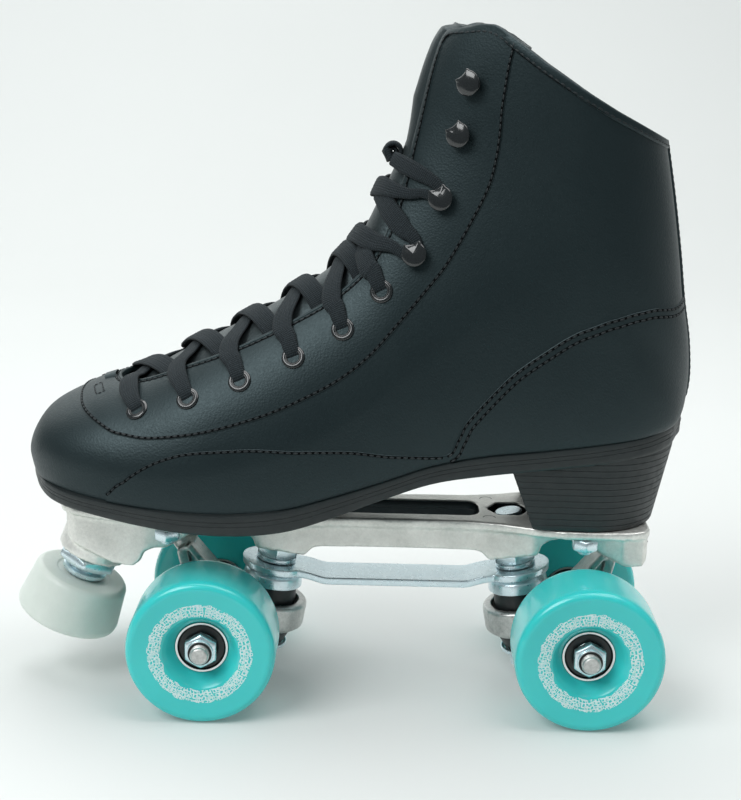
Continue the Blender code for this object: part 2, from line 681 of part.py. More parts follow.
def ring_profile(inner, outer, span):
    return [(inner, span[0]), (outer, span[0]), (outer, span[1]), (inner, span[1])]


def kingpin():
    start, end = KINGPIN_CAP
    shank = [(0, start), (KINGPIN_HEAD_R, start), (KINGPIN_HEAD_R, end), (KINGPIN_R, end),
             (KINGPIN_R, KINGPIN_HEAD[0] + 1), (0, KINGPIN_HEAD[0] + 1)]
    head = hexagon_nut("head", 16.0, 0, *KINGPIN_HEAD, DOWN, KINGPIN_TOP)
    return joined(on_kingpin("kingpin", shank, 20), [head])


def dished(span, r, flip=False):
    """A retainer: a washer with a turned rim."""
    start, end = span
    rim = [(KINGPIN_R + 0.4, start), (r - 1.2, start), (r, end), (r - 1.4, end), (r - 2.2, start + 1.3),
           (KINGPIN_R + 0.4, start + 1.3)]
    if flip:
        rim = [(radius, start + end - s) for radius, s in rim]
    return rim


def hanger():
    axle = (-AXLE_X, 0, AXLE_Z)
    barrel = turned("hanger", [(0, -23.6), (6.6, -23.6), (7.2, -19.0), (9.0, -13.0), (9.0, 13.0), (7.2, 19.0),
                               (6.6, 23.6), (0, 23.6)], 24, axle, (0, 1, 0))
    ring = on_kingpin("ring", [(0, RING[0]), (RING_R - 1.0, RING[0]), (RING_R, RING[0] + 1.0),
                               (RING_R, RING[1] - 2.0), (RING_R - 2.5, RING[1]), (0, RING[1])], 28)
    web = prism("web", [(-69.0, 25.0), (-69.0, 35.0), (-88.5, 59.2), (-92.0, 60.0), (-94.0, 56.5), (-88.0, 33.0),
                        (-80.0, 25.5)], -4.0, 4.0)
    inner_rib = prism("inner_rib", [(-66.5, 33.0), (-69.0, 37.0), (-89.5, 61.6), (-91.5, 59.6), (-72.0, 34.5)], -7.5, 7.5)
    outer_rib = prism("outer_rib", [(-89.4, 32.0), (-86.4, 32.0), (-90.5, 56.0), (-92.0, 60.5), (-95.6, 57.5)], -7.0, 7.0)
    foot = prism("foot", [(-62.0, 25.2), (-62.0, 33.0), (-78.0, 37.0), (-80.0, 24.5)], -12.0, 12.0)
    neck = turned("neck", [(0, -12.0), (6.2, -12.0), (3.9, -3.0), (0, -3.0)], 16, PIVOT, STEER)
    ball = turned("ball", [(BALL_R * sin(a), -BALL_R * cos(a)) if 0 < k < 6 else (0, -BALL_R * cos(a))
                           for k, a in enumerate([pi * i / 6 for i in range(7)])], 16, PIVOT, STEER)
    body = joined(barrel, [ring, web, inner_rib, outer_rib, foot, neck, ball])
    bores = [
        rod("axle", AXLE_R + 0.3, -30, 30, (0, 1, 0), axle, 20),
        rod("bore", RING_BORE, 20, 50, DOWN, KINGPIN_TOP, 20),
        rod("upper_seat", RING_SEAT_R, RING[0] - 14, RING_SEATS[0], DOWN, KINGPIN_TOP, 24),
        rod("lower_seat", RING_SEAT_R, RING_SEATS[1], RING[1] + 12, DOWN, KINGPIN_TOP, 24),
    ]
    return cut(body, bores)


def pivot_cup():
    """A rubber bush, closed at its far end, that holds the pivot ball."""
    return turned("pivot_cup", [(CUP_HOLE_R, -1.5), (CUP_R, -1.5), (CUP_R, 7.0), (0, 7.0), (0, 5.4), (CUP_HOLE_R, 5.4)],
                  16, PIVOT, STEER)


def wheel(side):
    """A wheel with its hub: the lip, the dished faces and the two bearing seats."""
    seat = BEARING_R + 0.35
    half = [
        (seat, OUTER_BEARING_Y + BEARING_W + 1.0), (14.5, 51.0), (21.5, 54.9), (28.6, WHEEL_OUT), (WHEEL_R, 53.4),
        (WHEEL_R, 27.0), (28.6, WHEEL_IN), (seat, WHEEL_IN + 0.6), (seat, INNER_BEARING_Y + BEARING_W + GAP),
        (8.0, INNER_BEARING_Y + BEARING_W + GAP), (8.0, OUTER_BEARING_Y - GAP), (seat, OUTER_BEARING_Y - GAP),
    ]
    profile = [(r, side * y) for r, y in half]
    return turned("wheel", profile, WHEEL_SEGMENTS, (0, 0, 0), (0, 1, 0), half_step=True)


def bearing(side, start):
    span = [(r, side * (start + y)) for r, y in ((BEARING_BORE, 0), (BEARING_R, 0), (BEARING_R, BEARING_W),
                                                 (BEARING_BORE, BEARING_W))]
    return turned("bearing", span, 18, (0, 0, 0), (0, 1, 0))


def axle_nut(side):
    start = OUTER_BEARING_Y + BEARING_W + GAP
    span = sorted((side * start, side * (start + AXLE_NUT_W)))
    return hexagon_nut("axle_nut", AXLE_NUT_AF, AXLE_R + 0.3, *span, (0, 1, 0), (0, 0, 0))


def truck(end, looks, parent):
    """All of one truck, laid out as the front one. The rear truck is the same, turned half round."""
    frame = empty(f"truck_{end}_frame", turn_z=0.0 if end == "front" else pi, parent=parent)
    steer = empty(f"truck_{end}_pivot", PIVOT, parent=frame)
    axle_at = Vector((-AXLE_X, 0, AXLE_Z))
    zinc, casting, rubber = looks["zinc"], looks["casting"], looks["cushion"]
    place(f"kingpin_{end}", kingpin(), zinc, frame)
    place(f"kingpin_lock_nut_{end}", hexagon_nut("lock_nut", 17.0, KINGPIN_R + 0.4, *LOCK_NUT, DOWN, KINGPIN_TOP),
          zinc, frame)
    place(f"upper_retainer_{end}", on_kingpin("retainer", dished(UPPER_RETAINER, 13.0)), zinc, frame)
    upper = [(KINGPIN_R + 0.4, UPPER_CUSHION[0]), (CUSHION_R - 1.7, UPPER_CUSHION[0]), (CUSHION_R - 1.7, 20.5),
             (CUSHION_R, UPPER_CUSHION[1] - 5), (CUSHION_R, UPPER_CUSHION[1]), (KINGPIN_R + 0.4, UPPER_CUSHION[1])]
    place(f"upper_cushion_{end}", on_kingpin("cushion", upper), rubber, frame)
    lower = [(KINGPIN_R + 0.4, LOWER_CUSHION[0]), (CUSHION_R, LOWER_CUSHION[0]), (CUSHION_R, 41.5), (8.8, 46.0),
             (8.8, LOWER_CUSHION[1]), (KINGPIN_R + 0.4, LOWER_CUSHION[1])]
    place(f"lower_cushion_{end}", on_kingpin("cushion", lower), rubber, frame)
    place(f"lower_retainer_{end}", on_kingpin("retainer", dished(LOWER_RETAINER, 11.0, flip=True)), zinc, frame)
    place(f"pivot_cup_{end}", pivot_cup(), rubber, frame)
    place(f"hanger_{end}", moved(hanger(), -PIVOT), casting, steer)
    axle_profile = [(0, -AXLE_END), (AXLE_R - 0.6, -AXLE_END), (AXLE_R, -AXLE_END + 0.7), (AXLE_R, AXLE_END - 0.7),
                    (AXLE_R - 0.6, AXLE_END), (0, AXLE_END)]
    place(f"axle_{end}", moved(turned("axle", axle_profile, 20, axle_at, (0, 1, 0)), -PIVOT), zinc, steer)
    for local_side in (-1, 1):
        world_side = local_side if end == "front" else -local_side
        where = f"{end}_{'left' if world_side < 0 else 'right'}"
        at = axle_at - PIVOT
        place(f"axle_nut_{where}", axle_nut(local_side), zinc, steer, at)
        hub = empty(f"wheel_{where}_axis", at, parent=steer)
        place(f"wheel_{where}", wheel(local_side), looks["urethane"], hub)
        place(f"outer_bearing_{where}", bearing(local_side, OUTER_BEARING_Y), looks["bearing"], hub)
        place(f"inner_bearing_{where}", bearing(local_side, INNER_BEARING_Y), looks["bearing"], hub)


# ---------------------------------------------------------------- the toe stop and the fasteners

def toe_stop(looks, parent):
    carrier = empty("toe_stop_carrier", STOP_FACE, parent=parent)
    stem = [(0, -17.0), (STEM_R, -17.0), (STEM_R, STOP_RUBBER[0] - 2.5), (9.8, STOP_RUBBER[0] - 2.5),
            (9.8, STOP_RUBBER[0] - GAP), (6.0, STOP_RUBBER[0] - GAP), (6.0, STOP_RUBBER[0] + 9), (0, STOP_RUBBER[0] + 9)]
    rubber = [(0, STOP_RUBBER[0] + 9.4), (6.4, STOP_RUBBER[0] + 9.4), (6.4, STOP_RUBBER[0]), (STOP_TOP_R - 1.5, STOP_RUBBER[0]),
              (STOP_TOP_R, STOP_RUBBER[0] + 1.5), (STOP_BOTTOM_R, STOP_RUBBER[1] - 3.0),
              (STOP_BOTTOM_R - 0.9, STOP_RUBBER[1] - 0.9), (STOP_BOTTOM_R - 3.0, STOP_RUBBER[1]), (0, STOP_RUBBER[1])]
    place("toe_stop_stem", turned("stem", stem, 24, (0, 0, 0), STOP_DOWN), looks["zinc"], carrier)
    place("toe_stop_rubber", turned("rubber", rubber, 32, (0, 0, 0), STOP_DOWN), looks["stop"], carrier)
    nut = hexagon_nut("nut", 23.8, STEM_R + 0.4, *STOP_NUT, STOP_DOWN, STOP_FACE, bore_sides=24)
    place("toe_stop_lock_nut", nut, looks["zinc"], parent)


def mounting(looks, parent):
    """The four bolts that hold the boot down, with their nuts under the deck."""
    for (x, y), end in zip(BOLTS, ("front", "rear")):
        under = DECK_Z - DECK_T - GAP
        if end == "front":
            top = feather(x)[0] - GAP
        else:
            top = along(SOLE, x)[1] - 2 * GAP
        for side, word in ((-1, "left"), (1, "right")):
            at = (x, side * y, 0)
            start = under - BOLT_END
            place(f"mount_bolt_{end}_{word}", rod("bolt", BOLT_R, start, top, (0, 0, 1), at, 12), looks["zinc"], parent)
            nut = hexagon_nut("nut", BOLT_NUT_AF, BOLT_R + GAP, under - BOLT_NUT_H, under, (0, 0, 1), at,
                              bore_sides=12)
            place(f"mount_nut_{end}_{word}", nut, looks["zinc"], parent)


def main():
    clear_scene()
    looks = {
        "leather": material("black_leather", (0.02, 0.022, 0.025), 0.42),
        "lining": material("lining", (0.03, 0.03, 0.033), 0.8),
        "sole": material("black_sole", (0.016, 0.017, 0.018), 0.5),
        "casting": material("cast_aluminium", (0.62, 0.61, 0.59), 0.45, 1.0),
        "zinc": material("zinc_plate", (0.72, 0.78, 0.82), 0.25, 1.0),
        "cushion": material("black_rubber", (0.018, 0.018, 0.02), 0.55),
        "urethane": material("teal_urethane", (0.05, 0.62, 0.58), 0.25),
        "bearing": material("bearing_shield", (0.05, 0.05, 0.055), 0.4, 0.5),
        "stop": material("white_rubber", (0.78, 0.83, 0.8), 0.5),
        "lace": material("black_lace", (0.022, 0.023, 0.026), 0.85),
    }
    skate = empty("skate", (BOX_SHIFT, 0, 0))
    place("vamp", vamp(), looks["leather"], skate)
    place("quarter_left", quarter(-1), looks["leather"], skate)
    place("quarter_right", quarter(1), looks["leather"], skate)
    place("backstay", backstay(), looks["leather"], skate)
    place("tongue", tongue(), looks["leather"], skate)
    place("insole", insole(), looks["lining"], skate)
    sole_bores = [rod("bore", BOLT_R + GAP, 60, 140, (0, 0, 1), (x, s * y, 0), 12) for x, y in BOLTS[:1] for s in (-1, 1)]
    place("outsole", cut(outsole(), sole_bores), looks["sole"], skate)
    place("heel_block", heel_block(), looks["sole"], skate)
    lace(looks["lace"], skate)
    place("hooks_left", hook_strip(-1), looks["zinc"], skate)
    place("hooks_right", hook_strip(1), looks["zinc"], skate)
    place("plate", plate(), looks["casting"], skate)
    place("jump_bar", jump_bar(), looks["zinc"], skate)
    mounting(looks, skate)
    toe_stop(looks, skate)
    truck("front", looks, skate)
    truck("rear", looks, skate)


main()
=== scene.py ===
"""Looks of the quad roller skate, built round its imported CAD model.

Shapes are laid out in wheelbase coordinates, in millimetres: the middle of the wheelbase is x = 0 and the
ground is z = 0. The toe points to -X and the boot's outer side to -Y. SHIFT moves them into the row frame.
"""

from math import cos, pi, radians, sin

import bmesh
import bpy
import numpy as np
from mathutils import Matrix, Vector


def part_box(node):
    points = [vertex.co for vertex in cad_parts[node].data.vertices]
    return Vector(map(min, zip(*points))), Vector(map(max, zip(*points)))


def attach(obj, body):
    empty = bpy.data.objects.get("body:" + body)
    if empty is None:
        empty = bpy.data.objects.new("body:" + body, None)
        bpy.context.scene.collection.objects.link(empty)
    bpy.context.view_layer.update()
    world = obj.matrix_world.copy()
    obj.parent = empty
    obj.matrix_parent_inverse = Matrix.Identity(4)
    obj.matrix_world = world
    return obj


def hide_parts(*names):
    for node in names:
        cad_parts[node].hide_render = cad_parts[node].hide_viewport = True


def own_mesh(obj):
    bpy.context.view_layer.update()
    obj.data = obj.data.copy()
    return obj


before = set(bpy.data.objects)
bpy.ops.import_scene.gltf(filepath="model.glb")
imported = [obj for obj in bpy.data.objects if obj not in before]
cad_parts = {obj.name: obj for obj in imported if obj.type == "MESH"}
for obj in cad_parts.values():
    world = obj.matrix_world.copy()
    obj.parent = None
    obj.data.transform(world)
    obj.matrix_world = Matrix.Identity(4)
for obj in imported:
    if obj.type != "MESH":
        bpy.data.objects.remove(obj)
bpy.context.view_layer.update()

MM = 0.001
BOOT = "boot_and_plate"
SIDES = (-1, 1)


def middle_x(node):
    """The x of the middle of a node's box."""
    low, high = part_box(node)
    return (low.x + high.x) / 2


SHIFT = np.array([(middle_x("wheel_front_left") + middle_x("wheel_rear_left")) / 2 / MM, 0.0, 0.0])

# ---------------------------------------------------------------- the boot's surface

# Sections from the toe to the top of the shaft: low point x, z; high point x, z; half width at the low point;
# greatest half width; how far up that lies; roundness above it; sideways shift of the centre line.
SECTIONS = np.array([
    (-157.0, 96.5, -158.9, 103.0, 9.0, 11.0, 0.50, 2.2, 7.0),
    (-154.0, 94.8, -156.7, 110.6, 19.5, 21.0, 0.40, 2.2, 7.0),
    (-148.0, 93.5, -151.0, 118.7, 29.0, 30.5, 0.35, 2.2, 6.5),
    (-138.0, 92.2, -141.0, 125.2, 37.5, 39.0, 0.30, 2.2, 5.5),
    (-124.0, 91.0, -127.0, 131.3, 43.5, 45.0, 0.28, 2.1, 4.0),
    (-106.0, 89.8, -108.0, 138.5, 47.0, 48.5, 0.25, 1.9, 2.0),
    (-86.0, 88.8, -86.0, 150.5, 48.0, 49.5, 0.24, 1.8, 0.0),
    (-66.0, 88.6, -65.0, 162.0, 46.5, 48.0, 0.25, 1.7, -1.0),
    (-46.0, 90.3, -46.5, 173.5, 43.5, 45.5, 0.27, 1.6, -1.5),
    (-27.0, 94.7, -31.0, 184.5, 39.5, 42.5, 0.30, 1.55, -1.5),
    (-7.0, 100.3, -20.0, 197.0, 36.0, 40.0, 0.34, 1.5, -1.0),
    (14.0, 107.0, -13.0, 210.5, 33.5, 38.0, 0.38, 1.5, -0.5),
    (36.0, 111.0, -7.5, 222.5, 32.0, 37.0, 0.42, 1.5, 0.0),
    (60.0, 114.0, -3.0, 232.5, 32.5, 37.0, 0.45, 1.5, 0.0),
    (84.0, 117.5, 0.3, 242.0, 32.5, 37.5, 0.47, 1.5, 0.0),
    (102.0, 120.5, 2.8, 250.5, 28.0, 38.0, 0.48, 1.5, 0.0),
    (115.0, 124.5, 5.0, 258.0, 17.0, 38.5, 0.48, 1.55, 0.0),
    (120.8, 137.0, 7.0, 265.0, 0.8, 39.0, 0.47, 1.6, 0.0),
    (119.8, 155.0, 9.0, 271.0, 0.8, 39.5, 0.46, 1.6, 0.0),
    (116.5, 173.0, 10.8, 275.5, 0.8, 40.0, 0.45, 1.6, 0.0),
    (113.5, 193.0, 12.8, 279.0, 0.8, 40.5, 0.44, 1.6, 0.0),
    (109.5, 216.0, 14.7, 281.2, 0.8, 41.0, 0.43, 1.6, 0.0),
    (105.0, 238.5, 17.0, 283.0, 0.8, 41.5, 0.42, 1.6, 0.0),
])
TOP = len(SECTIONS) - 1.0
HEEL_ROUND = 2.3
# Places on the boot are (section, degrees round from the ridge), for one side. The other side mirrors them.
# Many of these numbers came from a measuring program and weren't chosen by hand. report.md lists which,
# under "Rules not met".
THROAT = [
    (4.42, 0.0), (4.46, 6.0), (4.58, 13.0), (4.85, 19.0), (5.25, 22.8), (5.70, 25.4), (6.30, 27.8),
    (7.0, 29.2), (7.8, 29.8), (8.57, 30.5), (9.68, 32.3), (10.6, 34.0), (11.3, 33.0), (12.2, 27.5),
    (13.57, 19.0), (16.0, 13.0), (19.0, 10.0), (20.2, 9.4), (20.9, 11.2), (21.4, 15.0), (21.75, 20.5),
    (22.0, 28.0),
]
STAY_SEAM = [
    (3.36, 0.0), (3.40, 14.0), (3.58, 32.0), (3.92, 46.0), (4.42, 58.0), (4.81, 61.7), (5.27, 65.0),
    (5.96, 67.0), (6.58, 67.3), (7.4, 66.8), (8.32, 66.3), (9.3, 66.8), (10.2, 66.5), (11.2, 65.5),
    (12.47, 63.0), (14.57, 56.3), (17.98, 52.4), (21.60, 50.0), (22.0, 49.7),
]
FOXING_SEAM = [
    (4.30, 124.0), (4.62, 95.4), (5.15, 80.5), (5.85, 74.5), (6.79, 76.2), (7.6, 80.5), (8.38, 89.3),
    (9.4, 108.0), (10.42, 133.8), (11.24, 151.7), (11.55, 138.5), (11.91, 125.4), (12.96, 110.6),
    (14.34, 104.7), (15.83, 104.4), (16.7, 108.5), (17.43, 116.0), (18.2, 131.0), (18.94, 158.0),
    (19.1, 180.0),
]
EYELETS = [(5.02, 45.3), (6.0, 48.0), (7.01, 47.8), (8.15, 47.4), (9.4, 48.5), (10.68, 49.4)]
HOOKS = [(12.05, 51.2), (13.72, 44.8), (16.2, 39.0), (18.82, 37.4)]
# How far the collar rises past the last section, by distance from its front corner
COLLAR_RISE = [(0.0, 0.0), (3.0, 0.2), (6.0, 1.6), (10.0, 4.6), (14.0, 6.4), (17.0, 6.3), (20.0, 5.6),
               (37.0, 2.75), (54.0, 0.9), (70.0, 0.0), (140.0, 0.0)]
# How far the inner side's collar stays below the outer side's
COLLAR_DIP = [(0.0, 0.0), (12.0, 0.0), (20.0, 2.0), (36.0, 3.4), (50.0, 3.4), (64.0, 3.6), (78.0, 4.6),
              (90.0, 4.0), (99.0, 0.6)]
STAY_THICK, FOXING_THICK = 0.55, 0.45


def run_along(points):
    """How far along a polyline each of its points lies."""
    return np.concatenate([[0], np.cumsum(np.linalg.norm(np.diff(points, axis=0), axis=1))])


def read_at(at, run, rows):
    """Rows that stand at the distances in run, read at other distances."""
    return np.stack([np.interp(at, run, rows[:, k]) for k in range(rows.shape[1])], 1)


def unit(vectors):
    """Vectors brought to a length of 1."""
    return vectors / np.maximum(np.linalg.norm(vectors, axis=-1, keepdims=True), 1e-9)


def smooth_reading(table, at):
    """Rows of a table at fractional indices, on a Catmull-Rom curve through them."""
    last = len(table) - 1
    padded = np.vstack([2 * table[0] - table[1], table, 2 * table[-1] - table[-2]])
    at = np.clip(np.asarray(at, float), 0, last)
    i = np.minimum(at.astype(int), last - 1)
    f = (at - i)[..., None]
    a, b, c, d = padded[i], padded[i + 1], padded[i + 2], padded[i + 3]
    return 0.5 * (2 * b + (c - a) * f + (2 * a - 5 * b + 4 * c - d) * f ** 2
                  + (3 * b - a - 3 * c + d) * f ** 3)


def curve(table, steps):
    """A smooth curve through a table's rows, in points evenly spread by index."""
    return smooth_reading(np.array(table, float), np.linspace(0, len(table) - 1, steps))


def even(points, steps):
    """A polyline read again at equal distances."""
    points = np.asarray(points, float)
    run = run_along(points)
    at = np.linspace(0, run[-1], steps)
    return read_at(at, run, points)


def bare_boot(u, c):
    """Points of the boot's surface at section u and c degrees round from the ridge."""
    s = smooth_reading(SECTIONS, u)
    angle = np.radians(c)
    low_x, low_z, high_x, high_z, low_w, wide, wide_at, roundness, shift = [s[..., k] for k in range(9)]
    across, rise = np.abs(np.sin(angle)), np.abs(np.cos(angle))
    upper = np.abs(c) <= 90
    share = np.where(upper, wide_at + (1 - wide_at) * rise ** (2 / roundness),
                     wide_at * (1 - rise ** (2 / HEEL_ROUND)))
    width = np.where(upper, wide * across, low_w + (wide - low_w) * across)
    length = np.hypot(high_x - low_x, high_z - low_z)
    from_front = (1 - share) * length
    bump = np.interp(from_front, *np.transpose(COLLAR_RISE)) - (c > 0) * np.interp(from_front,
                                                                                   *np.transpose(COLLAR_DIP))
    bump = bump * np.clip((u - 19.5) / 2.5, 0, 1) ** 1.5
    x = low_x + (high_x - low_x) * share + bump * 0.451
    z = low_z + (high_z - low_z) * share + bump * 0.892
    return np.stack([x, shift + np.sign(c) * width, z], -1)


def boot_normal(u, c):
    """Directions straight out of the boot's surface."""
    du, dc = 0.02, 0.4
    near = np.clip(u, du, TOP - du)
    round_c = np.clip(c, -179.4, 179.4)
    along = bare_boot(near + du, round_c) - bare_boot(near - du, round_c)
    around = bare_boot(near, round_c + dc) - bare_boot(near, round_c - dc)
    normal = np.cross(along, around)
    return unit(normal)


def boot(u, c, out=0.0):
    """Points out millimetres off the boot's surface, at section u and c degrees round from the ridge."""
    u, c, out = np.broadcast_arrays(np.asarray(u, float), np.asarray(c, float), np.asarray(out, float))
    return bare_boot(u, c) + boot_normal(u, c) * out[..., None]


# ---------------------------------------------------------------- mesh tools

def grid_faces(rows, columns, close_columns=False, close_rows=False):
    """Faces of a grid of points numbered row by row."""
    i = np.arange(rows if close_rows else rows - 1)[:, None]
    j = np.arange(columns if close_columns else columns - 1)[None, :]
    i2, j2 = (i + 1) % rows, (j + 1) % columns
    quads = np.stack(np.broadcast_arrays(i * columns + j, i * columns + j2, i2 * columns + j2,
                                         i2 * columns + j), -1)
    return quads.reshape(-1, 4).tolist()


def piece(name, points, faces, look, body=BOOT, replaces=(), origin=(0, 0, 0), uv=None, sharp=40.0,
          outward=True):
    """An object from points in millimetres, moving with a body. Its texture space starts at origin."""
    points = np.asarray(points, float).reshape(-1, 3) - np.asarray(origin, float)
    mesh = bpy.data.meshes.new(name)
    mesh.from_pydata((points * MM).tolist(), [], faces)
    if uv is not None:
        layer = mesh.uv_layers.new(name="flow")
        loops = np.zeros(len(mesh.loops), int)
        mesh.loops.foreach_get("vertex_index", loops)
        layer.data.foreach_set("uv", np.asarray(uv, float).reshape(-1, 2)[loops].astype(np.float32).ravel())
    mesh.materials.append(look)
    mesh.validate()
    mesh.shade_smooth()
    mesh.set_sharp_from_angle(angle=radians(sharp))
    made = bpy.data.objects.new(name, mesh)
    bpy.context.scene.collection.objects.link(made)
    made.location = ((np.asarray(origin, float) + SHIFT) * MM).tolist()
    if outward:
        turn_outward(mesh)
    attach(made, body)
    if replaces:
        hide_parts(*([replaces] if isinstance(replaces, str) else replaces))
    return made


def turn_outward(mesh):
    made = bmesh.new()
    made.from_mesh(mesh)
    bmesh.ops.remove_doubles(made, verts=made.verts, dist=1e-6)
    bmesh.ops.recalc_face_normals(made, faces=made.faces)
    made.to_mesh(mesh)
    made.free()


def merged(parts):
    """Several (points, faces) as one."""
    points, faces, start = [], [], 0
    for some_points, some_faces in parts:
        some_points = np.asarray(some_points, float).reshape(-1, 3)
        points.append(some_points)
        faces += [[k + start for k in face] for face in some_faces]
        start += len(some_points)
    return np.vstack(points), faces


def frame_of(axis):
    """An axis at length 1, and two directions square to it and to each other."""
    axis = np.asarray(axis, float) / np.linalg.norm(axis)
    side = np.cross(axis, (0, 1, 0)) if abs(axis[1]) < 0.9 else np.array([1.0, 0, 0])
    side = side / np.linalg.norm(side)
    return axis, side, np.cross(axis, side)


def turned(profile, axis=(0, 1, 0), centre=(0, 0, 0), segments=96, closed=False):
    """A profile of (radius, distance along) turned round an axis. A closed one is a ring's section."""
    axis, side, other = frame_of(axis)
    profile = np.asarray(profile, float)
    turn = np.linspace(0, 2 * pi, segments, endpoint=False)
    ring = np.cos(turn)[:, None] * side + np.sin(turn)[:, None] * other
    points = np.asarray(centre, float) + profile[:, 1, None, None] * axis + profile[:, 0, None,
                                                                                    None] * ring[None]
    return points.reshape(-1, 3), grid_faces(len(profile), segments, close_columns=True, close_rows=closed)


def rounded(profile, radius=0.4, steps=3, closed=False):
    """A profile with its corners rounded off."""
    profile = [np.array(p, float) for p in profile]
    count = len(profile)
    made = []
    for k, corner in enumerate(profile):
        if not closed and k in (0, count - 1):
            made.append(corner)
            continue
        before, after = profile[k - 1] - corner, profile[(k + 1) % count] - corner
        reach_before, reach_after = np.linalg.norm(before), np.linalg.norm(after)
        reach = min(radius, reach_before * 0.45, reach_after * 0.45)
        if reach < 1e-3:
            made.append(corner)
            continue
        start, end = corner + before / reach_before * reach, corner + after / reach_after * reach
        for step in range(steps + 1):
            t = step / steps
            made.append((1 - t) ** 2 * start + 2 * t * (1 - t) * corner + t ** 2 * end)
    return np.array(made)


def threaded(r, start, end, pitch=1.0, depth=0.32):
    """A profile line with thread grooves, from start to end."""
    count = max(2, int(abs(end - start) / pitch))
    made = []
    for k in range(count):
        a = start + (end - start) * k / count
        step = (end - start) / count
        made += [(r, a + step * 0.1), (r, a + step * 0.35), (r - depth, a + step * 0.6),
                 (r - depth, a + step * 0.75)]
    return made


def hexagon(across_flats, bore, start, end, axis, centre, segments=96, chamfer=0.94):
    """A nut with the curved edges that a cone leaves on a hexagon's corners."""
    axis, side, other = frame_of(axis)
    turn = np.linspace(0, 2 * pi, segments, endpoint=False)
    within = (turn + pi / 6) % (pi / 3) - pi / 6
    half = across_flats / 2
    hexes = half / np.cos(within)
    flat = np.full(segments, half * chamfer)
    drop = (hexes - flat) * 0.55
    sign = 1 if end > start else -1
    ring = np.ones(segments)
    rows = [
        (bore * ring, start + 0.5 * sign * ring), ((bore + 0.5) * ring, start * ring), (flat, start * ring),
        (hexes - 0.12, start + sign * drop), (hexes, start + sign * (drop + 0.15)),
        (hexes, end - sign * (drop + 0.15)), (hexes - 0.12, end - sign * drop), (flat, end * ring),
        ((bore + 0.5) * ring, end * ring), (bore * ring, end - 0.5 * sign * ring),
    ]
    ray = np.cos(turn)[:, None] * side + np.sin(turn)[:, None] * other
    points = [np.asarray(centre, float) + r[:, None] * ray + along[:, None] * axis for r, along in rows]
    return np.vstack(points), grid_faces(len(rows), segments, close_columns=True, close_rows=True)


def half_turn(points, end):
    """Front-truck points, or the same turned half round for the rear truck."""
    points = np.asarray(points, float)
    return points if end == "front" else points * (-1, -1, 1)


def spread(length, count, near=(0.0, 0.25, 0.6, 1.1, 1.9)):
    """Shares across a panel, close together at both edges where its edge is rounded."""
    near = np.array(near) / length
    near = near * min(1.0, 0.3 / near[-1])
    middle = np.linspace(near[-1], 1 - near[-1], count - 2 * len(near) + 2)[1:-1]
    return np.concatenate([near, middle, 1 - near[::-1]])


def edge_height(distance, thick, radius=1.0, sunk=-0.35):
    t = np.clip(distance / radius, 0, 1)
    return sunk + (thick - sunk) * np.sqrt(1 - (1 - t) ** 2)


def panel(edge_a, edge_b, rows, columns, thick, puff=0.0, base=0.0):
    """A raised panel on the boot between two curves of (section, degrees), its edges rounded down."""
    a, b = curve(edge_a, rows), curve(edge_b, rows)
    points = []
    for (ua, ca), (ub, cb) in zip(a, b):
        t = np.linspace(0, 1, 33)
        line = bare_boot(ua + (ub - ua) * t, ca + (cb - ca) * t)
        run = run_along(line)
        share = spread(max(run[-1], 0.5), columns)
        at = share * run[-1]
        t = np.interp(at, run, t)
        out = base + edge_height(np.minimum(at, run[-1] - at), thick)
        out = out + puff * np.sin(pi * np.clip((at - 3) / max(run[-1] - 6, 1), 0, 1)) ** 0.6
        points.append(boot(ua + (ub - ua) * t, ca + (cb - ca) * t, out))
    return np.array(points), grid_faces(rows, columns)


def sweep(path, normals, profile, closed=False):
    """A closed profile of (across, out) carried along a path lying on the boot."""
    path, normals = np.asarray(path, float), np.asarray(normals, float)
    if closed:
        tangent = np.roll(path, -1, 0) - np.roll(path, 1, 0)
    else:
        tangent = np.gradient(path, axis=0)
    tangent = unit(tangent)
    across = unit(np.cross(normals, tangent))
    up = np.cross(tangent, across)
    profile = np.asarray(profile, float)
    if profile.ndim == 2:
        profile = np.broadcast_to(profile, (len(path), *profile.shape))
    points = path[:, None] + profile[..., 0, None] * across[:, None] + profile[..., 1, None] * up[:, None]
    faces = grid_faces(len(path), profile.shape[1], close_columns=True, close_rows=closed)
    if not closed:
        faces += [list(range(profile.shape[1])),
                  list(range((len(path) - 1) * profile.shape[1], points[..., 0].size))]
    return points, faces


CAPSULE = np.array([(-1.0, 0.0), (-0.72, 0.8), (0.0, 1.0), (0.72, 0.8), (1.0, 0.0)])


def stitches(path, normals, spacing=2.8, length=2.1, thick=0.34, lift=0.12, skip=0.0):
    """Separate stitches laid along a path."""
    run = run_along(path)
    count = max(1, int((run[-1] - 2 * skip) / spacing))
    at = skip + (run[-1] - 2 * skip) * (np.arange(count) + 0.5) / count
    centre = read_at(at, run, path)
    ahead = read_at(at + 0.6, run, path) - centre
    ahead = unit(ahead)
    up = read_at(at, run, normals)
    side = unit(np.cross(up, ahead))
    up = np.cross(ahead, side)
    around = np.linspace(0, 2 * pi, 6, endpoint=False)
    parts = []
    for c, a, s, n in zip(centre + up * lift, ahead, side, up):
        rings = [c + a * (length / 2 * x) + (np.cos(around)[:, None] * s * 1.25 + np.sin(around)[:, None] * n)
                 * thick * max(r, 0.05) for x, r in CAPSULE]
        parts.append((np.vstack(rings), grid_faces(len(CAPSULE), 6, close_columns=True)))
    return merged(parts)


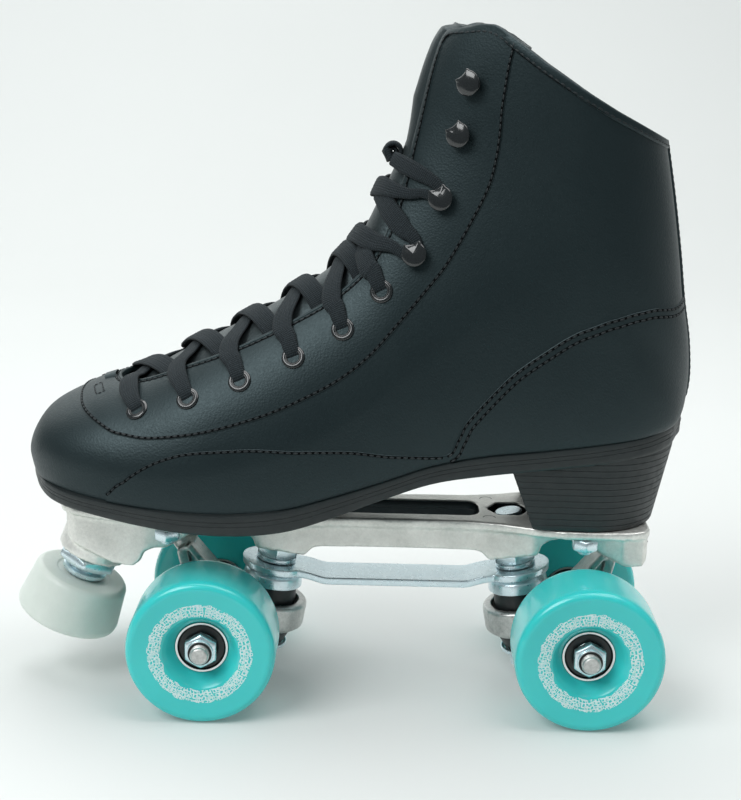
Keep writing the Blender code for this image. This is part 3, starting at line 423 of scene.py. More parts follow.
def groove_shade_strip(path, normals, width, lift):
    """A flat dark strip drawn along a path: painted shade for the groove that stitches pull into leather."""
    tangent = np.gradient(path, axis=0)
    across = unit(np.cross(normals, tangent))
    rows = [path + across * (w * width / 2) + normals * (lift + h) for w,
            h in ((-1, -0.12), (-0.8, 0.0), (0.8, 0.0), (1, -0.12))]
    return np.stack(rows, 1), grid_faces(len(path), 4)


# ---------------------------------------------------------------- materials

class Look:
    """A material in the making. Places are in metres, from the piece's own origin."""

    def __init__(self, name, colour, roughness, metallic=0.0, **settings):
        self.material = bpy.data.materials.new(name)
        self.material.use_nodes = True
        self.tree = self.material.node_tree
        self.shader = self.tree.nodes["Principled BSDF"]
        self.place = self.node("ShaderNodeTexCoord").outputs["Object"]
        self.set("Base Color", (*colour, 1.0))
        self.set("Roughness", roughness)
        self.set("Metallic", metallic)
        for key, value in settings.items():
            self.set(key.replace("_", " "), value)

    def set(self, socket, value):
        self.shader.inputs[socket].default_value = value

    def node(self, kind, **settings):
        made = self.tree.nodes.new(kind)
        for key, value in settings.items():
            setattr(made, key, value)
        return made

    def put(self, socket, value):
        if isinstance(value, bpy.types.NodeSocket):
            self.tree.links.new(value, socket)
        else:
            socket.default_value = value

    def noise(self, size_mm, detail=2.0, rough=0.5, where=None, stretch=None):
        made = self.node("ShaderNodeTexNoise")
        self.put(made.inputs["Vector"], self.stretched(where or self.place, stretch))
        made.inputs["Scale"].default_value = 1000.0 / size_mm
        made.inputs["Detail"].default_value = detail
        made.inputs["Roughness"].default_value = rough
        return made.outputs[0]

    def cells(self, size_mm):
        made = self.node("ShaderNodeTexVoronoi", feature="F1", distance="EUCLIDEAN")
        self.put(made.inputs["Vector"], self.place)
        made.inputs["Scale"].default_value = 1000.0 / size_mm
        return made.outputs["Distance"]

    def stretched(self, where, by):
        if by is None:
            return where
        made = self.node("ShaderNodeVectorMath", operation="MULTIPLY")
        self.put(made.inputs[0], where)
        made.inputs[1].default_value = by
        return made.outputs[0]

    def maths(self, operation, a, b=0.0, c=0.0):
        made = self.node("ShaderNodeMath", operation=operation)
        for socket, value in zip(made.inputs, (a, b, c)):
            self.put(socket, value)
        return made.outputs[0]

    def times(self, a, b):
        return self.maths("MULTIPLY", a, b)

    def plus(self, a, b):
        return self.maths("ADD", a, b)

    def minus(self, a, b):
        return self.maths("SUBTRACT", a, b)

    def less(self, a, b):
        return self.maths("LESS_THAN", a, b)

    def more(self, a, b):
        return self.maths("GREATER_THAN", a, b)

    def absolute(self, a):
        return self.maths("ABSOLUTE", a)

    def along_axes(self, where):
        """The three parts of a place."""
        split = self.node("ShaderNodeSeparateXYZ")
        self.put(split.inputs[0], where)
        return split.outputs

    def between(self, value, low, high, out_low=0.0, out_high=1.0):
        made = self.node("ShaderNodeMapRange")
        for socket, number in zip(made.inputs, (value, low, high, out_low, out_high)):
            self.put(socket, number)
        return made.outputs[0]

    def blend(self, share, a, b):
        made = self.node("ShaderNodeMix", data_type="RGBA")
        self.put(made.inputs[0], share)
        for socket, colour in ((made.inputs[6], a), (made.inputs[7], b)):
            self.put(socket, (*colour, 1.0) if isinstance(colour, tuple) else colour)
        return made.outputs[2]

    def colour(self, value):
        self.put(self.shader.inputs["Base Color"], value)

    def roughness(self, value):
        self.put(self.shader.inputs["Roughness"], value)

    def bump(self, height, depth_mm, strength=1.0):
        """Bumps of depth_mm for a height from 0 to 1, over any that are already there."""
        made = self.node("ShaderNodeBump")
        made.inputs["Strength"].default_value = strength
        made.inputs["Distance"].default_value = depth_mm * MM
        self.put(made.inputs["Height"], height)
        old = self.shader.inputs["Normal"]
        if old.is_linked:
            self.tree.links.new(old.links[0].from_socket, made.inputs["Normal"])
        self.tree.links.new(made.outputs[0], old)


def leather(name, dark, light, roughness, grain=0.08, grain_mm=0.9):
    look = Look(name, dark, roughness, Specular_IOR_Level=0.5)
    look.set("Specular Tint", (0.72, 0.94, 1.0, 1.0))
    clouds = look.noise(38, 3)
    fine = look.noise(1.1, 3, 0.6)
    look.colour(look.blend(look.between(clouds, 0.3, 0.7), dark, light))
    look.roughness(look.between(fine, 0.25, 0.75, roughness - 0.06, roughness + 0.07))
    look.bump(look.noise(11, 2), 0.07, 0.6)
    look.bump(look.cells(grain_mm), grain, 0.7)
    look.bump(look.noise(0.35, 2), grain * 0.4, 0.6)
    return look.material


def plate_shade_and_pin_marks(look):
    """Where painted shade darkens the plate's slot, its bolt pockets and the +y half of the deck's ejector
    pin rings.
    """
    at = look.node("ShaderNodeVectorMath", operation="ADD")
    look.put(at.inputs[0], look.place)
    at.inputs[1].default_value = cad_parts["plate"].matrix_world.translation - Vector(SHIFT * MM)
    x, y, z = [look.times(out, 1000.0) for out in look.along_axes(at.outputs[0])]
    far_x, far_y = look.absolute(x), look.absolute(y)

    def distance(x0, y0, across):
        off_x, off_y = look.minus(far_x, x0), look.minus(across, y0)
        square = look.plus(look.times(off_x, off_x), look.times(off_y, off_y))
        return look.maths("SQRT", square)

    def every(first, *others):
        for other in others:
            first = look.times(first, other)
        return first

    # painted shade: the slot's channel and the bolt pockets below the deck top turn near-black, for the
    # shadow inside them
    below = every(look.less(z, 77.8), look.more(z, 66.0))
    channel = every(look.less(far_x, 36.2), look.less(far_y, 13.8))
    pocket = look.less(distance(48.2, 0.0, y), 9.8)
    # the ejector pins' ring marks, darkened only on their +y half: painted shade on one side
    ring = look.less(look.absolute(look.minus(distance(39.3, 12.7, far_y), 2.6)), 0.24)
    half = look.more(look.times(look.maths("SIGN", y), look.minus(far_y, 12.7)), 0.2)
    pin_ring_shade = every(ring, half, look.more(z, 77.6))
    return look.maths("MAXIMUM", every(below, look.maths("MAXIMUM", channel, pocket)), pin_ring_shade)


def make_looks():
    looks = {}
    looks["leather"] = leather("black_leather", (0.0040, 0.0086, 0.0098), (0.0070, 0.0125, 0.0138), 0.45)
    looks["tongue"] = leather("tongue_leather", (0.014, 0.018, 0.019), (0.021, 0.026, 0.027), 0.40)
    looks["edge"] = leather("cut_edge", (0.030, 0.038, 0.040), (0.055, 0.066, 0.068), 0.55)
    look = Look("lining", (0.018, 0.021, 0.022), 0.9, Sheen_Weight=0.25)
    look.colour(look.blend(look.noise(2.2, 3), (0.013, 0.016, 0.017), (0.03, 0.034, 0.035)))
    look.bump(look.cells(0.9), 0.12)
    looks["lining"] = look.material

    look = Look("thread", (0.008, 0.011, 0.012), 0.5, Specular_IOR_Level=0.3)
    look.colour(look.blend(look.noise(0.5, 2), (0.010, 0.0145, 0.016), (0.024, 0.031, 0.034)))
    look.bump(look.noise(0.25, 2), 0.05)
    looks["thread"] = look.material
    # near-black painted shade: the strips under the stitches and the discs in the eyelets stand for shadow in
    # grooves and holes
    look = Look("painted_shade_black", (0.001, 0.0015, 0.002), 0.8, Specular_IOR_Level=0.08)
    look.colour(look.blend(look.noise(1.3, 2), (0.0008, 0.0012, 0.0015), (0.002, 0.003, 0.0035)))
    looks["groove"] = look.material

    look = Look("lace_weave", (0.02, 0.025, 0.028), 0.85, Specular_IOR_Level=0.25, Sheen_Weight=0.05,
                Sheen_Roughness=0.5)
    flow = look.node("ShaderNodeUVMap", uv_map="flow").outputs[0]
    along, across, _ = look.along_axes(flow)
    rows = look.maths("SINE", look.times(along, 7.5))
    cords = look.maths("SINE", look.times(across, 6.6))
    weave = look.times(look.plus(rows, 1.0), look.plus(look.times(cords, 0.6), 1.0))
    flecks = look.noise(0.9, 3, 0.7)
    shade = look.maths("MULTIPLY_ADD", weave, 0.16, flecks)
    look.colour(look.blend(look.between(shade, 0.35, 1.0), (0.006, 0.0095, 0.0115), (0.020, 0.029, 0.034)))
    look.bump(weave, 0.10, 0.7)
    look.bump(flecks, 0.12, 0.6)
    looks["lace"] = look.material

    look = Look("black_sole", (0.012, 0.016, 0.017), 0.5)
    look.colour(look.blend(look.noise(14, 3), (0.0085, 0.0135, 0.0145), (0.016, 0.0225, 0.0235)))
    look.roughness(look.between(look.noise(3, 3), 0.3, 0.7, 0.42, 0.58))
    look.bump(look.noise(1.0, 3), 0.05, 0.6)
    looks["sole"] = look.material

    look = Look("black_enamel", (0.008, 0.009, 0.010), 0.1, Coat_Weight=0.5, Coat_Roughness=0.05)
    look.colour(look.blend(look.noise(5, 2), (0.006, 0.0075, 0.0085), (0.014, 0.017, 0.018)))
    look.roughness(look.between(look.noise(0.8, 3), 0.3, 0.7, 0.12, 0.24))
    looks["enamel"] = look.material
    look = Look("gunmetal", (0.01, 0.011, 0.012), 0.32, 0.0, Specular_IOR_Level=0.4)
    look.colour(look.blend(look.noise(2, 2), (0.006, 0.008, 0.009), (0.014, 0.017, 0.018)))
    looks["gunmetal"] = look.material

    look = Look("zinc_plate", (0.72, 0.80, 0.84), 0.3, 0.88)
    look.colour(look.blend(look.noise(6, 3), (0.66, 0.80, 0.86), (0.80, 0.89, 0.92)))
    look.roughness(look.between(look.noise(1.5, 3), 0.3, 0.7, 0.26, 0.34))
    look.bump(look.noise(1.2, 2), 0.006, 0.5)
    looks["zinc"] = look.material
    look = Look("rough_steel", (0.6, 0.61, 0.6), 0.5, 1.0)
    look.colour(look.blend(look.noise(1.2, 3), (0.40, 0.40, 0.39), (0.80, 0.80, 0.78)))
    look.roughness(look.between(look.noise(0.7, 3), 0.3, 0.7, 0.35, 0.65))
    look.bump(look.noise(0.5, 3), 0.08)
    looks["rough_steel"] = look.material

    look = Look("cast_aluminium", (0.7, 0.7, 0.68), 0.42, 0.7)
    patches, spots = look.noise(16, 4, 0.6), look.noise(1.6, 4, 0.7)
    mottle = look.maths("MULTIPLY_ADD", spots, 0.5, look.times(patches, 0.6))
    metal = look.blend(look.between(mottle, 0.38, 0.72), (0.60, 0.605, 0.57), (0.94, 0.935, 0.89))
    # painted shade: near-black in the slot and bolt pockets, and on the +y half of the deck's pin rings
    look.colour(look.blend(plate_shade_and_pin_marks(look), metal, (0.012, 0.018, 0.020)))
    look.roughness(look.between(spots, 0.3, 0.7, 0.30, 0.52))
    look.bump(spots, 0.06, 0.7)
    look.bump(look.noise(6, 3), 0.25, 0.5)
    looks["casting"] = look.material
    look = Look("polished_casting", (0.62, 0.625, 0.61), 0.32, 0.9)
    patches, spots = look.noise(9, 4, 0.6), look.noise(1.4, 4, 0.7)
    look.colour(look.blend(look.between(look.maths("MULTIPLY_ADD", spots, 0.5, look.times(patches, 0.6)),
                                        0.38, 0.72),
                           (0.36, 0.37, 0.36), (0.70, 0.70, 0.68)))
    look.roughness(look.between(spots, 0.3, 0.7, 0.26, 0.48))
    look.bump(spots, 0.07, 0.7)
    looks["hanger"] = look.material

    look = Look("black_rubber", (0.012, 0.0135, 0.014), 0.45)
    look.colour(look.blend(look.noise(4, 3), (0.009, 0.0105, 0.011), (0.02, 0.022, 0.023)))
    look.roughness(look.between(look.noise(1.5, 3), 0.3, 0.7, 0.36, 0.55))
    look.bump(look.noise(0.8, 3), 0.04)
    looks["rubber"] = look.material
    look = Look("bearing_steel", (0.72, 0.73, 0.73), 0.2, 1.0)
    look.colour(look.blend(look.noise(3, 2), (0.6, 0.62, 0.62), (0.85, 0.86, 0.85)))
    look.bump(look.noise(2, 2, where=look.place, stretch=(1, 30, 1)), 0.01)
    looks["bearing"] = look.material
    look = Look("bearing_shield", (0.012, 0.012, 0.013), 0.42)
    look.colour(look.blend(look.noise(2, 3), (0.008, 0.0085, 0.009), (0.02, 0.021, 0.022)))
    look.bump(look.noise(0.4, 2), 0.03)
    looks["shield"] = look.material

    look = Look("white_rubber", (0.74, 0.79, 0.74), 0.38, Subsurface_Weight=0.35, Subsurface_Scale=0.006)
    look.set("Subsurface Radius", (1.0, 1.1, 1.0))
    look.colour(look.blend(look.noise(9, 4, 0.6), (0.66, 0.72, 0.665), (0.78, 0.825, 0.78)))
    look.roughness(look.between(look.noise(2.0, 3), 0.3, 0.7, 0.3, 0.5))
    look.bump(look.noise(1.0, 3), 0.05)
    looks["stop"] = look.material
    looks["urethane"] = urethane()
    return looks


def urethane():
    """Teal urethane, printed on its faces with a ring of a fine angular pattern round the axle."""
    look = Look("teal_urethane", (0.03, 0.52, 0.50), 0.22, Subsurface_Weight=0.15, Subsurface_Scale=0.004,
                Coat_Weight=0.3,
                Coat_Roughness=0.06)
    x, y, z = look.along_axes(look.place)
    radius = look.maths("SQRT", look.plus(look.times(x, x), look.times(z, z)))
    radius = look.times(radius, 1000.0)
    round_mm = look.times(look.maths("ARCTAN2", z, x), 18.8)
    flat = look.node("ShaderNodeCombineXYZ")
    look.put(flat.inputs[0], round_mm)
    look.put(flat.inputs[1], radius)
    where = flat.outputs[0]

    def squares(scale, size):
        """Outlines of scattered squares, a cell to each."""
        cell = look.node("ShaderNodeTexVoronoi", feature="F1", distance="CHEBYCHEV", voronoi_dimensions="2D")
        look.put(cell.inputs["Vector"], where)
        cell.inputs["Scale"].default_value = scale
        cell.inputs["Randomness"].default_value = 0.8
        off_edge = look.absolute(look.minus(cell.outputs["Distance"], size))
        return look.less(off_edge, 0.17 * scale)

    marks = look.maths("MAXIMUM", squares(0.43, 0.33), squares(0.58, 0.36))
    ragged = look.noise(4.5, 1, where=look.stretched(where, (0.001, 0.001, 0.001)))
    outer = look.maths("MULTIPLY_ADD", ragged, 2.4, 20.4)
    inner = look.maths("MULTIPLY_ADD", ragged, 2.4, 15.2)
    band = look.times(look.less(radius, outer), look.more(radius, inner))
    outside = look.more(look.absolute(y), 0.0475)
    worn = look.between(look.noise(1.2, 2), 0.25, 0.5, 0.55, 1.0)
    print_share = look.times(look.times(marks, band), look.times(outside, worn))
    clouds = look.noise(25, 2)
    teal = look.blend(look.between(clouds, 0.3, 0.7), (0.038, 0.60, 0.59), (0.046, 0.65, 0.635))
    look.colour(look.blend(print_share, teal, (0.72, 0.86, 0.85)))
    look.roughness(look.maths("MULTIPLY_ADD", print_share, 0.25,
                              look.between(look.noise(9, 2), 0.3, 0.7, 0.22, 0.27)))
    look.bump(look.noise(1.5, 2), 0.006, 0.5)
    return look.material


looks = make_looks()


# ---------------------------------------------------------------- the boot

def mirrored(edge, side):
    """A line of (section, degrees) on one side of the boot."""
    return [(u, side * c) for u, c in edge]


def throat_at(u):
    """Degrees from the ridge to the flap's edge, on either side."""
    if u <= THROAT[0][0]:
        return 0.0
    line = curve(THROAT, 400)
    return float(np.interp(u, line[:, 0], line[:, 1]))


def wall(out_of, first=0.0, rows=190, half_columns=58):
    """One skin of the boot, from the sole's edge on one side over to the other, open at the throat."""
    us = np.concatenate([np.linspace(first, 5.0, 60), np.linspace(5.0, TOP, rows - 60)[1:]])
    grid = []
    for u in us:
        gap = throat_at(u)
        share = np.linspace(0, 1, half_columns)
        half = gap + (180 - gap) * (share * 0.8 + 0.2 * share ** 2)
        half[0] = max(half[0], 1e-4)
        c = np.concatenate([-half[::-1], half])
        grid.append(boot(u, c, out_of(u, c)))
    return np.array(grid), us, half_columns


def upper():
    grid, us, half = wall(lambda u, c: np.zeros_like(c))
    rows, columns = grid.shape[:2]
    faces = []
    for face in grid_faces(rows, columns):
        row, column = divmod(face[0], columns)
        if column == half - 1 and us[row + 1] > THROAT[0][0]:
            continue
        faces.append(face)
    centre = grid[0].mean(0)
    caps = [centre + (grid[0] - centre) * f - (1.3 * (1 - f ** 2), 0, 0) for f in (0.1, 0.45, 0.75, 0.92)]
    points = np.concatenate([np.array(caps), grid])
    faces = [[k + 4 * columns for k in face] for face in faces] + grid_faces(5, columns, close_columns=True)
    piece("boot_upper", points, faces, looks["leather"], replaces=("vamp", "quarter_left", "quarter_right"),
          sharp=60)


def padding(u, c):
    """How far the lining stands inside: thin at the foot, thick and soft at the ankle and collar."""
    thick = 2.6 + 3.4 * np.clip((u - 12) / 6, 0, 1) * np.clip((np.abs(c) - 40) / 40, 0, 1)
    return -thick * np.clip((TOP + 0.25 - u) / 0.8, 0.35, 1) ** 0.5


def lining():
    grid, us, half = wall(padding, first=1.2, rows=120, half_columns=40)
    rows, columns = grid.shape[:2]
    faces = [f for f in grid_faces(rows, columns)
             if not (f[0] % columns == half - 1 and us[f[0] // columns + 1] > THROAT[0][0])]
    made = piece("collar_padding", grid, [f[::-1] for f in faces], looks["lining"],
                 outward=False, sharp=60)


def rim_path(side):
    """(section, degrees) along one side's edge: up the throat and back along the collar to the back seam."""
    up = curve(THROAT, 260)
    back = np.stack([np.full(120, TOP), np.linspace(THROAT[-1][1], 180.0, 120)], 1)[1:]
    line = np.vstack([up, back])
    return line * (1, side)


def line_on_boot(uc, out, steps=None):
    """Points and normals of a line of (section, degrees) rows, at an even distance from point to point."""
    uc = np.asarray(uc, float)
    points = boot(uc[:, 0], uc[:, 1], out)
    run = run_along(points)
    steps = steps or max(4, int(run[-1] / 1.5))
    at = np.linspace(0, run[-1], steps)
    u, c = np.interp(at, run, uc[:, 0]), np.interp(at, run, uc[:, 1])
    return boot(u, c, out), boot_normal(u, c), np.stack([u, c], 1)


def binding():
    """The folded band over the throat's and collar's edge, wide on the shaft and narrow by the eyelets."""
    for side, word in zip(SIDES, ("left", "right")):
        path, normals, uc = line_on_boot(rim_path(side), 0.0, 330)
        wide = np.interp(uc[:, 0], [10.5, 12.5], [1.4, 3.2])
        wide = np.where((np.abs(uc[:, 1]) > 29) & (uc[:, 0] > 20), 3.2, wide)
        top = STAY_THICK + 0.25
        shape = np.array([(1.0, -0.3), (0.97, 0.55), (0.8, 1.0), (0.45, 1.0), (0.1, 0.95), (-0.12, 0.6),
                          (-0.22, 0.0),
                         (-0.22, -0.6), (-0.12, -1.0), (0.15, -1.12), (0.6, -1.12), (1.0, -1.0)])
        profile = np.zeros((len(path), len(shape), 2))
        profile[..., 0] = shape[:, 0] * wide[:, None] * side
        high = np.where(shape[:, 1] > 0, shape[:, 1] * top, shape[:, 1] * 3.1)
        thick_in = np.interp(uc[:, 0], [10.5, 13], [0.55, 1.15])[:, None]
        profile[..., 1] = np.where(shape[:, 1] > 0, high, high * thick_in)
        points, faces = sweep(path, normals, profile)
        piece(f"edge_binding_{word}", points, faces, looks["leather"], sharp=60)


def seams():
    """Every row of stitches on the upper, as thread over a dark strip of painted shade for its pressed
    groove.
    """
    rows, grooves = [], []

    def sew(edge, inside, out, spacing=2.8, smoothing=0, **how):
        path, normals, uc = line_on_boot(edge, out)
        tangent = np.gradient(path, axis=0)
        across = unit(np.cross(normals, tangent))
        path = path + across * inside
        for _ in range(smoothing):
            path[1:-1] = (path[:-2] + 2 * path[1:-1] + path[2:]) / 4
        rows.append(stitches(path, normals, spacing, **how))
        # a near-black strip under each stitch row: painted shade for the groove's shadow
        grooves.append(groove_shade_strip(path, normals, 1.15, 0.04))

    for side in SIDES:
        stay = mirrored(curve(STAY_SEAM, 200), side)
        sew(stay, -side, STAY_THICK - 0.02)
        throat = [p for p in rim_path(side) if p[0] < 11.6 and abs(p[1]) < 60]
        sew(throat, side * 2.2, STAY_THICK + 0.05, skip=1.0)
        high = [p for p in rim_path(side) if p[0] >= 11.6]
        sew(high, side * 2.3, STAY_THICK + 0.28, smoothing=12, skip=1.0)
        fox = mirrored(curve(FOXING_SEAM, 300), side)
        front = [p for p in fox if p[0] < 11.22]
        counter = [p for p in fox if p[0] > 11.26 and abs(p[1]) < 176]
        sew(front, side, FOXING_THICK - 0.02)
        sew(counter, side, FOXING_THICK - 0.02)
        sew(counter, side * 3.8, FOXING_THICK + 0.03)
    for side in SIDES:
        corners = np.array([(3.83, 11.7), (4.03, 10.3), (4.18, 23.9), (3.99, 25.2), (3.83, 11.7)]) * (1, side)
        tack = np.vstack([a + (b - a) * np.linspace(0, 1, 9)[:, None] for a, b in zip(corners, corners[1:])])
        path, normals, _ = line_on_boot(tack, STAY_THICK + 0.3)
        rows.append(stitches(path, normals, 1.9, length=1.4, thick=0.28))
    path_points, path_faces = merged(rows)
    piece("upper_stitches", path_points, path_faces, looks["thread"], outward=False)
    groove_shade_points, groove_shade_faces = merged(grooves)
    piece("stitch_groove_shade", groove_shade_points, groove_shade_faces, looks["groove"], outward=False)


def overlays():
    throat = curve(THROAT, 240)
    stay = curve(STAY_SEAM, 240)
    whole_throat = np.vstack([throat[::-1] * (1, -1), throat[1:]])
    whole_stay = np.vstack([stay[::-1] * (1, -1), stay[1:]])
    points, faces = panel(even_uc(whole_throat), even_uc(whole_stay), 300, 30, STAY_THICK, puff=0.35)
    piece("eyestay_panel", points, faces, looks["leather"], sharp=60)
    for side, word in zip(SIDES, ("left", "right")):
        top = curve(FOXING_SEAM, 330)
        bottom = np.stack([top[:, 0], np.full(len(top), 179.9)], 1)
        points, faces = panel(top * (1, side), bottom * (1, side), 330, 34, FOXING_THICK)
        piece(f"heel_counter_{word}", points, faces, looks["leather"], sharp=60)


def even_uc(uc):
    """(section, degrees) rows spread evenly by their distance on the boot."""
    points = bare_boot(uc[:, 0], uc[:, 1])
    run = run_along(points)
    at = np.linspace(0, run[-1], len(uc))
    return read_at(at, run, uc)


def throat_tab():
    """A small folded tab at the toe end of the throat."""
    points, faces = panel(np.array([(4.06, -4.5), (4.34, -4.5)]), np.array([(4.06, 4.5), (4.34, 4.5)]), 6, 14,
                          1.3, base=0.7)
    piece("throat_tab", points, faces, looks["edge"], sharp=60)


def backstay():
    """The strip down the back seam, with a stitch row along each edge."""
    us = np.linspace(16.35, TOP, 90)
    reach = np.array([-6.6, -6.3, -5.9, -5.2, -4.0, -2.0, 0, 2.0, 4.0, 5.2, 5.9, 6.3, 6.6])
    heights = np.array([-0.35, 0.4, 0.9, 1.15, 1.2, 1.25, 1.3, 1.25, 1.2, 1.15, 0.9, 0.4, -0.35])
    grid, edges = [], {-1: [], 1: []}
    for u in us:
        c = np.linspace(120, 180, 200)
        line = bare_boot(np.full(200, u), c)
        order = line[:, 1]
        cs = np.interp(np.abs(reach), order[::-1], c[::-1])
        flat = bare_boot(np.full(len(cs), u), cs * np.where(reach < 0, -1, 1))
        inner = np.abs(reach) < order[-1]
        flat[inner, 0] = line[-1, 0]
        flat[inner, 2] = line[-1, 2]
        flat[inner, 1] = reach[inner]
        normal = boot_normal(np.full(len(cs), u), cs * np.where(reach < 0, -1, 1))
        grid.append(flat + normal * heights[:, None])
        for side in SIDES:
            k = 9 if side > 0 else 3
            edges[side].append((grid[-1][k], normal[k]))
    piece("back_strip", np.array(grid), grid_faces(len(us), len(reach)), looks["leather"],
          replaces="backstay",
          sharp=60)
    rows = []
    for side in SIDES:
        path, normals = (np.array(v) for v in zip(*edges[side]))
        rows.append(stitches(path, normals, 2.8, thick=0.2, lift=-0.08, skip=2.0))
    points, faces = merged(rows)
    piece("back_strip_stitches", points, faces, looks["thread"], outward=False)


def tongue_out(u, c):
    """How far the tongue's upper face is off the boot: crowned between the flaps, low beneath them."""
    gap = np.interp(u, *np.transpose(curve(THROAT, 120)[3:]))
    t = np.clip(np.abs(c) / (gap + 5.0), 0, 1)
    raised = 3.0 * np.clip((u - 13.4) / 2.0, 0, 1) * (1 - 0.75 * np.clip((u - 20.6) / 1.4, 0, 1))
    return -1.3 + raised - 4.1 * t ** 2.2


def tongue():
    us = np.linspace(3.2, TOP, 150)
    cs = np.concatenate([np.linspace(-52, -20, 18), np.linspace(-20, 20, 31)[1:-1], np.linspace(20, 52, 18)])
    rise = np.array([0.451, 0, 0.892])
    top, under = [], []
    extra = [0.5, 1.0, 1.4, 1.55]
    for k, u in enumerate(list(us) + [TOP] * len(extra)):
        side_drop = 1 - np.clip((np.abs(cs) - 14) / 14, 0, 1) ** 2
        lift = extra[k - len(us)] if k >= len(us) else 0.0
        inset = max(0.0, lift - 0.9) * 1.6
        high = boot(u, cs, tongue_out(u, cs) - inset) + rise * (lift * side_drop)[:, None]
        low = boot(u, cs, tongue_out(u, cs) - 5.2 + inset) + rise * (lift * side_drop)[:, None]
        top.append(high)
        under.append(low)
    rows = [np.vstack([a, b[::-1]]) for a, b in zip(top, under)]
    columns = len(rows[0])
    faces = grid_faces(len(rows), columns, close_columns=True)
    faces += [list(range(columns)), list(range((len(rows) - 1) * columns, len(rows) * columns))]
    made = piece("padded_tongue", np.array(rows), faces, looks["tongue"], replaces="tongue",
                 sharp=55)


def eyelets():
    """Enamelled rings with gunmetal liners, and near-black discs of painted shade in their holes."""
    rings, liners, hole_shades = [], [], []
    ring = rounded([(2.9, 0.1), (4.75, -0.3), (4.75, 0.35), (3.9, 0.75), (3.2, 0.65), (2.9, 0.1)], 0.3)
    liner = rounded([(2.4, -1.0), (2.4, 0.35), (2.75, 0.62), (3.25, 0.6), (3.25, 0.0)], 0.2)
    for side in SIDES:
        for u, c in EYELETS:
            normal = boot_normal(np.array(u), np.array(side * c))
            at = boot(u, side * c, STAY_THICK + 0.45)
            rings.append(turned(ring, normal, at, 40))
            liners.append(turned(liner, normal, at, 40))
            # a near-black disc down in each liner: painted shade for the hole's shadow
            hole_shades.append(turned([(0.01, -0.9), (2.45, -0.9)], normal, at, 24))
    for name, parts, look in (("eyelet_rings", rings, "enamel"), ("eyelet_liners", liners, "gunmetal"),
                              ("eyelet_hole_shades", hole_shades, "groove")):
        points, faces = merged(parts)
        piece(name, points, faces, looks[look], outward=name != "eyelet_hole_shades")


def hook_cap(centre, normal, ahead):
    """A domed stud whose toe-facing side is cut into a hollow between two ears."""
    side = np.cross(normal, ahead)
    around = np.linspace(-pi, pi, 96, endpoint=False)
    half_bite = radians(36)
    reach = np.full(96, 5.0)
    within = np.abs(around) < half_bite
    reach[within] = 3.9 + 1.6 * (np.abs(around[within]) / half_bite) ** 2.2
    reach = reach + 0.6 * np.exp(-((np.abs(around) - radians(38)) / radians(7)) ** 2)
    levels = [(0.02, 1.2), (0.3, 1.13), (0.55, 0.93), (0.75, 0.66), (0.9, 0.32), (0.97, 0.1), (1.0, -0.1),
              (0.98, -0.35), (0.9, -0.5), (0.3, -0.4)]
    ray = np.cos(around)[:, None] * ahead + np.sin(around)[:, None] * side
    points = [centre + ray * (reach * f)[:, None] + normal * h for f, h in levels]
    return np.vstack(points), grid_faces(len(levels), 96, close_columns=True)


def hooks():
    for side, word in zip(SIDES, ("left", "right")):
        caps = []
        for k, (u, c) in enumerate(HOOKS):
            c = side * c
            normal = boot_normal(np.array(u), np.array(c))
            foot = boot(u, c, STAY_THICK + 0.2)
            toward = boot(u, c * 0.8, STAY_THICK + 0.2) - foot
            down = boot(u - 0.5, c, STAY_THICK + 0.2) - foot
            ahead = toward / np.linalg.norm(toward) - 0.2 * down / np.linalg.norm(down)
            ahead = ahead - normal * (ahead @ normal)
            ahead /= np.linalg.norm(ahead)
            caps.append(hook_cap(foot + normal * 4.4, normal, ahead))
            caps.append(turned(rounded([(3.4, -0.3), (3.4, 0.5), (2.0, 0.9), (1.9, 4.4)], 0.3), normal, foot,
                               32))
        points, faces = merged(caps)
        piece(f"lace_hooks_{word}", points, faces, looks["enamel"], replaces=f"hooks_{word}")


STRAP_W, STRAP_T = 8.6, 1.7


def strap_profile(width, thick):
    """A flat lace's section: rounded sides and lengthwise ribs on both faces."""
    count = 29
    t = np.linspace(-1, 1, count)
    hump = np.sqrt(np.maximum(1 - np.abs(t) ** 5, 0)) * (thick / 2)
    ribs = 0.05 * np.cos(t * pi * 6) * (np.abs(t) < 0.93)
    top = np.stack([t * width / 2, hump + ribs], 1)
    low = np.stack([t[::-1] * width / 2, -(hump + ribs)[::-1]], 1)
    return np.vstack([top, low[1:-1]])


def strap(route, route_normals, width, thick=STRAP_T):
    """A strap along a path. width may change on the way. Gives points, faces and flow coordinates in mm."""
    run = run_along(route)
    steps = max(6, int(run[-1] / 0.9))
    at = np.linspace(0, run[-1], steps)
    path = read_at(at, run, route)
    normals = read_at(at, run, route_normals)
    for _ in range(3):
        path[1:-1] = (path[:-2] + path[1:-1] * 2 + path[2:]) / 4
    normals = unit(normals)
    widths = np.interp(at, np.linspace(0, run[-1], len(width)), width) if np.ndim(width) else np.full(steps,
                                                                                                      width)
    profile = np.array([strap_profile(w, thick * (1 + 0.5 * max(0.0, 1 - w / STRAP_W))) for w in widths])
    points, faces = sweep(path, normals, profile)
    flow = np.stack(np.broadcast_arrays(at[:, None], profile[..., 0]), -1)
    return points, faces, flow


def strand(waypoints, width=STRAP_W, steps=60):
    """A strap through places (section, degrees, out) on the boot."""
    line = curve(waypoints, steps)
    points = boot(line[:, 0], line[:, 1], line[:, 2])
    return strap(points, boot_normal(line[:, 0], line[:, 1]), width)


def round_hook(u, c, out):
    """Places on the way round a hook's stem, from below."""
    beside = np.sign(c) * 0.5
    return [(u - 0.16, c + beside, out), (u, c + beside * 5, out), (u + 0.16, c + beside, out)]


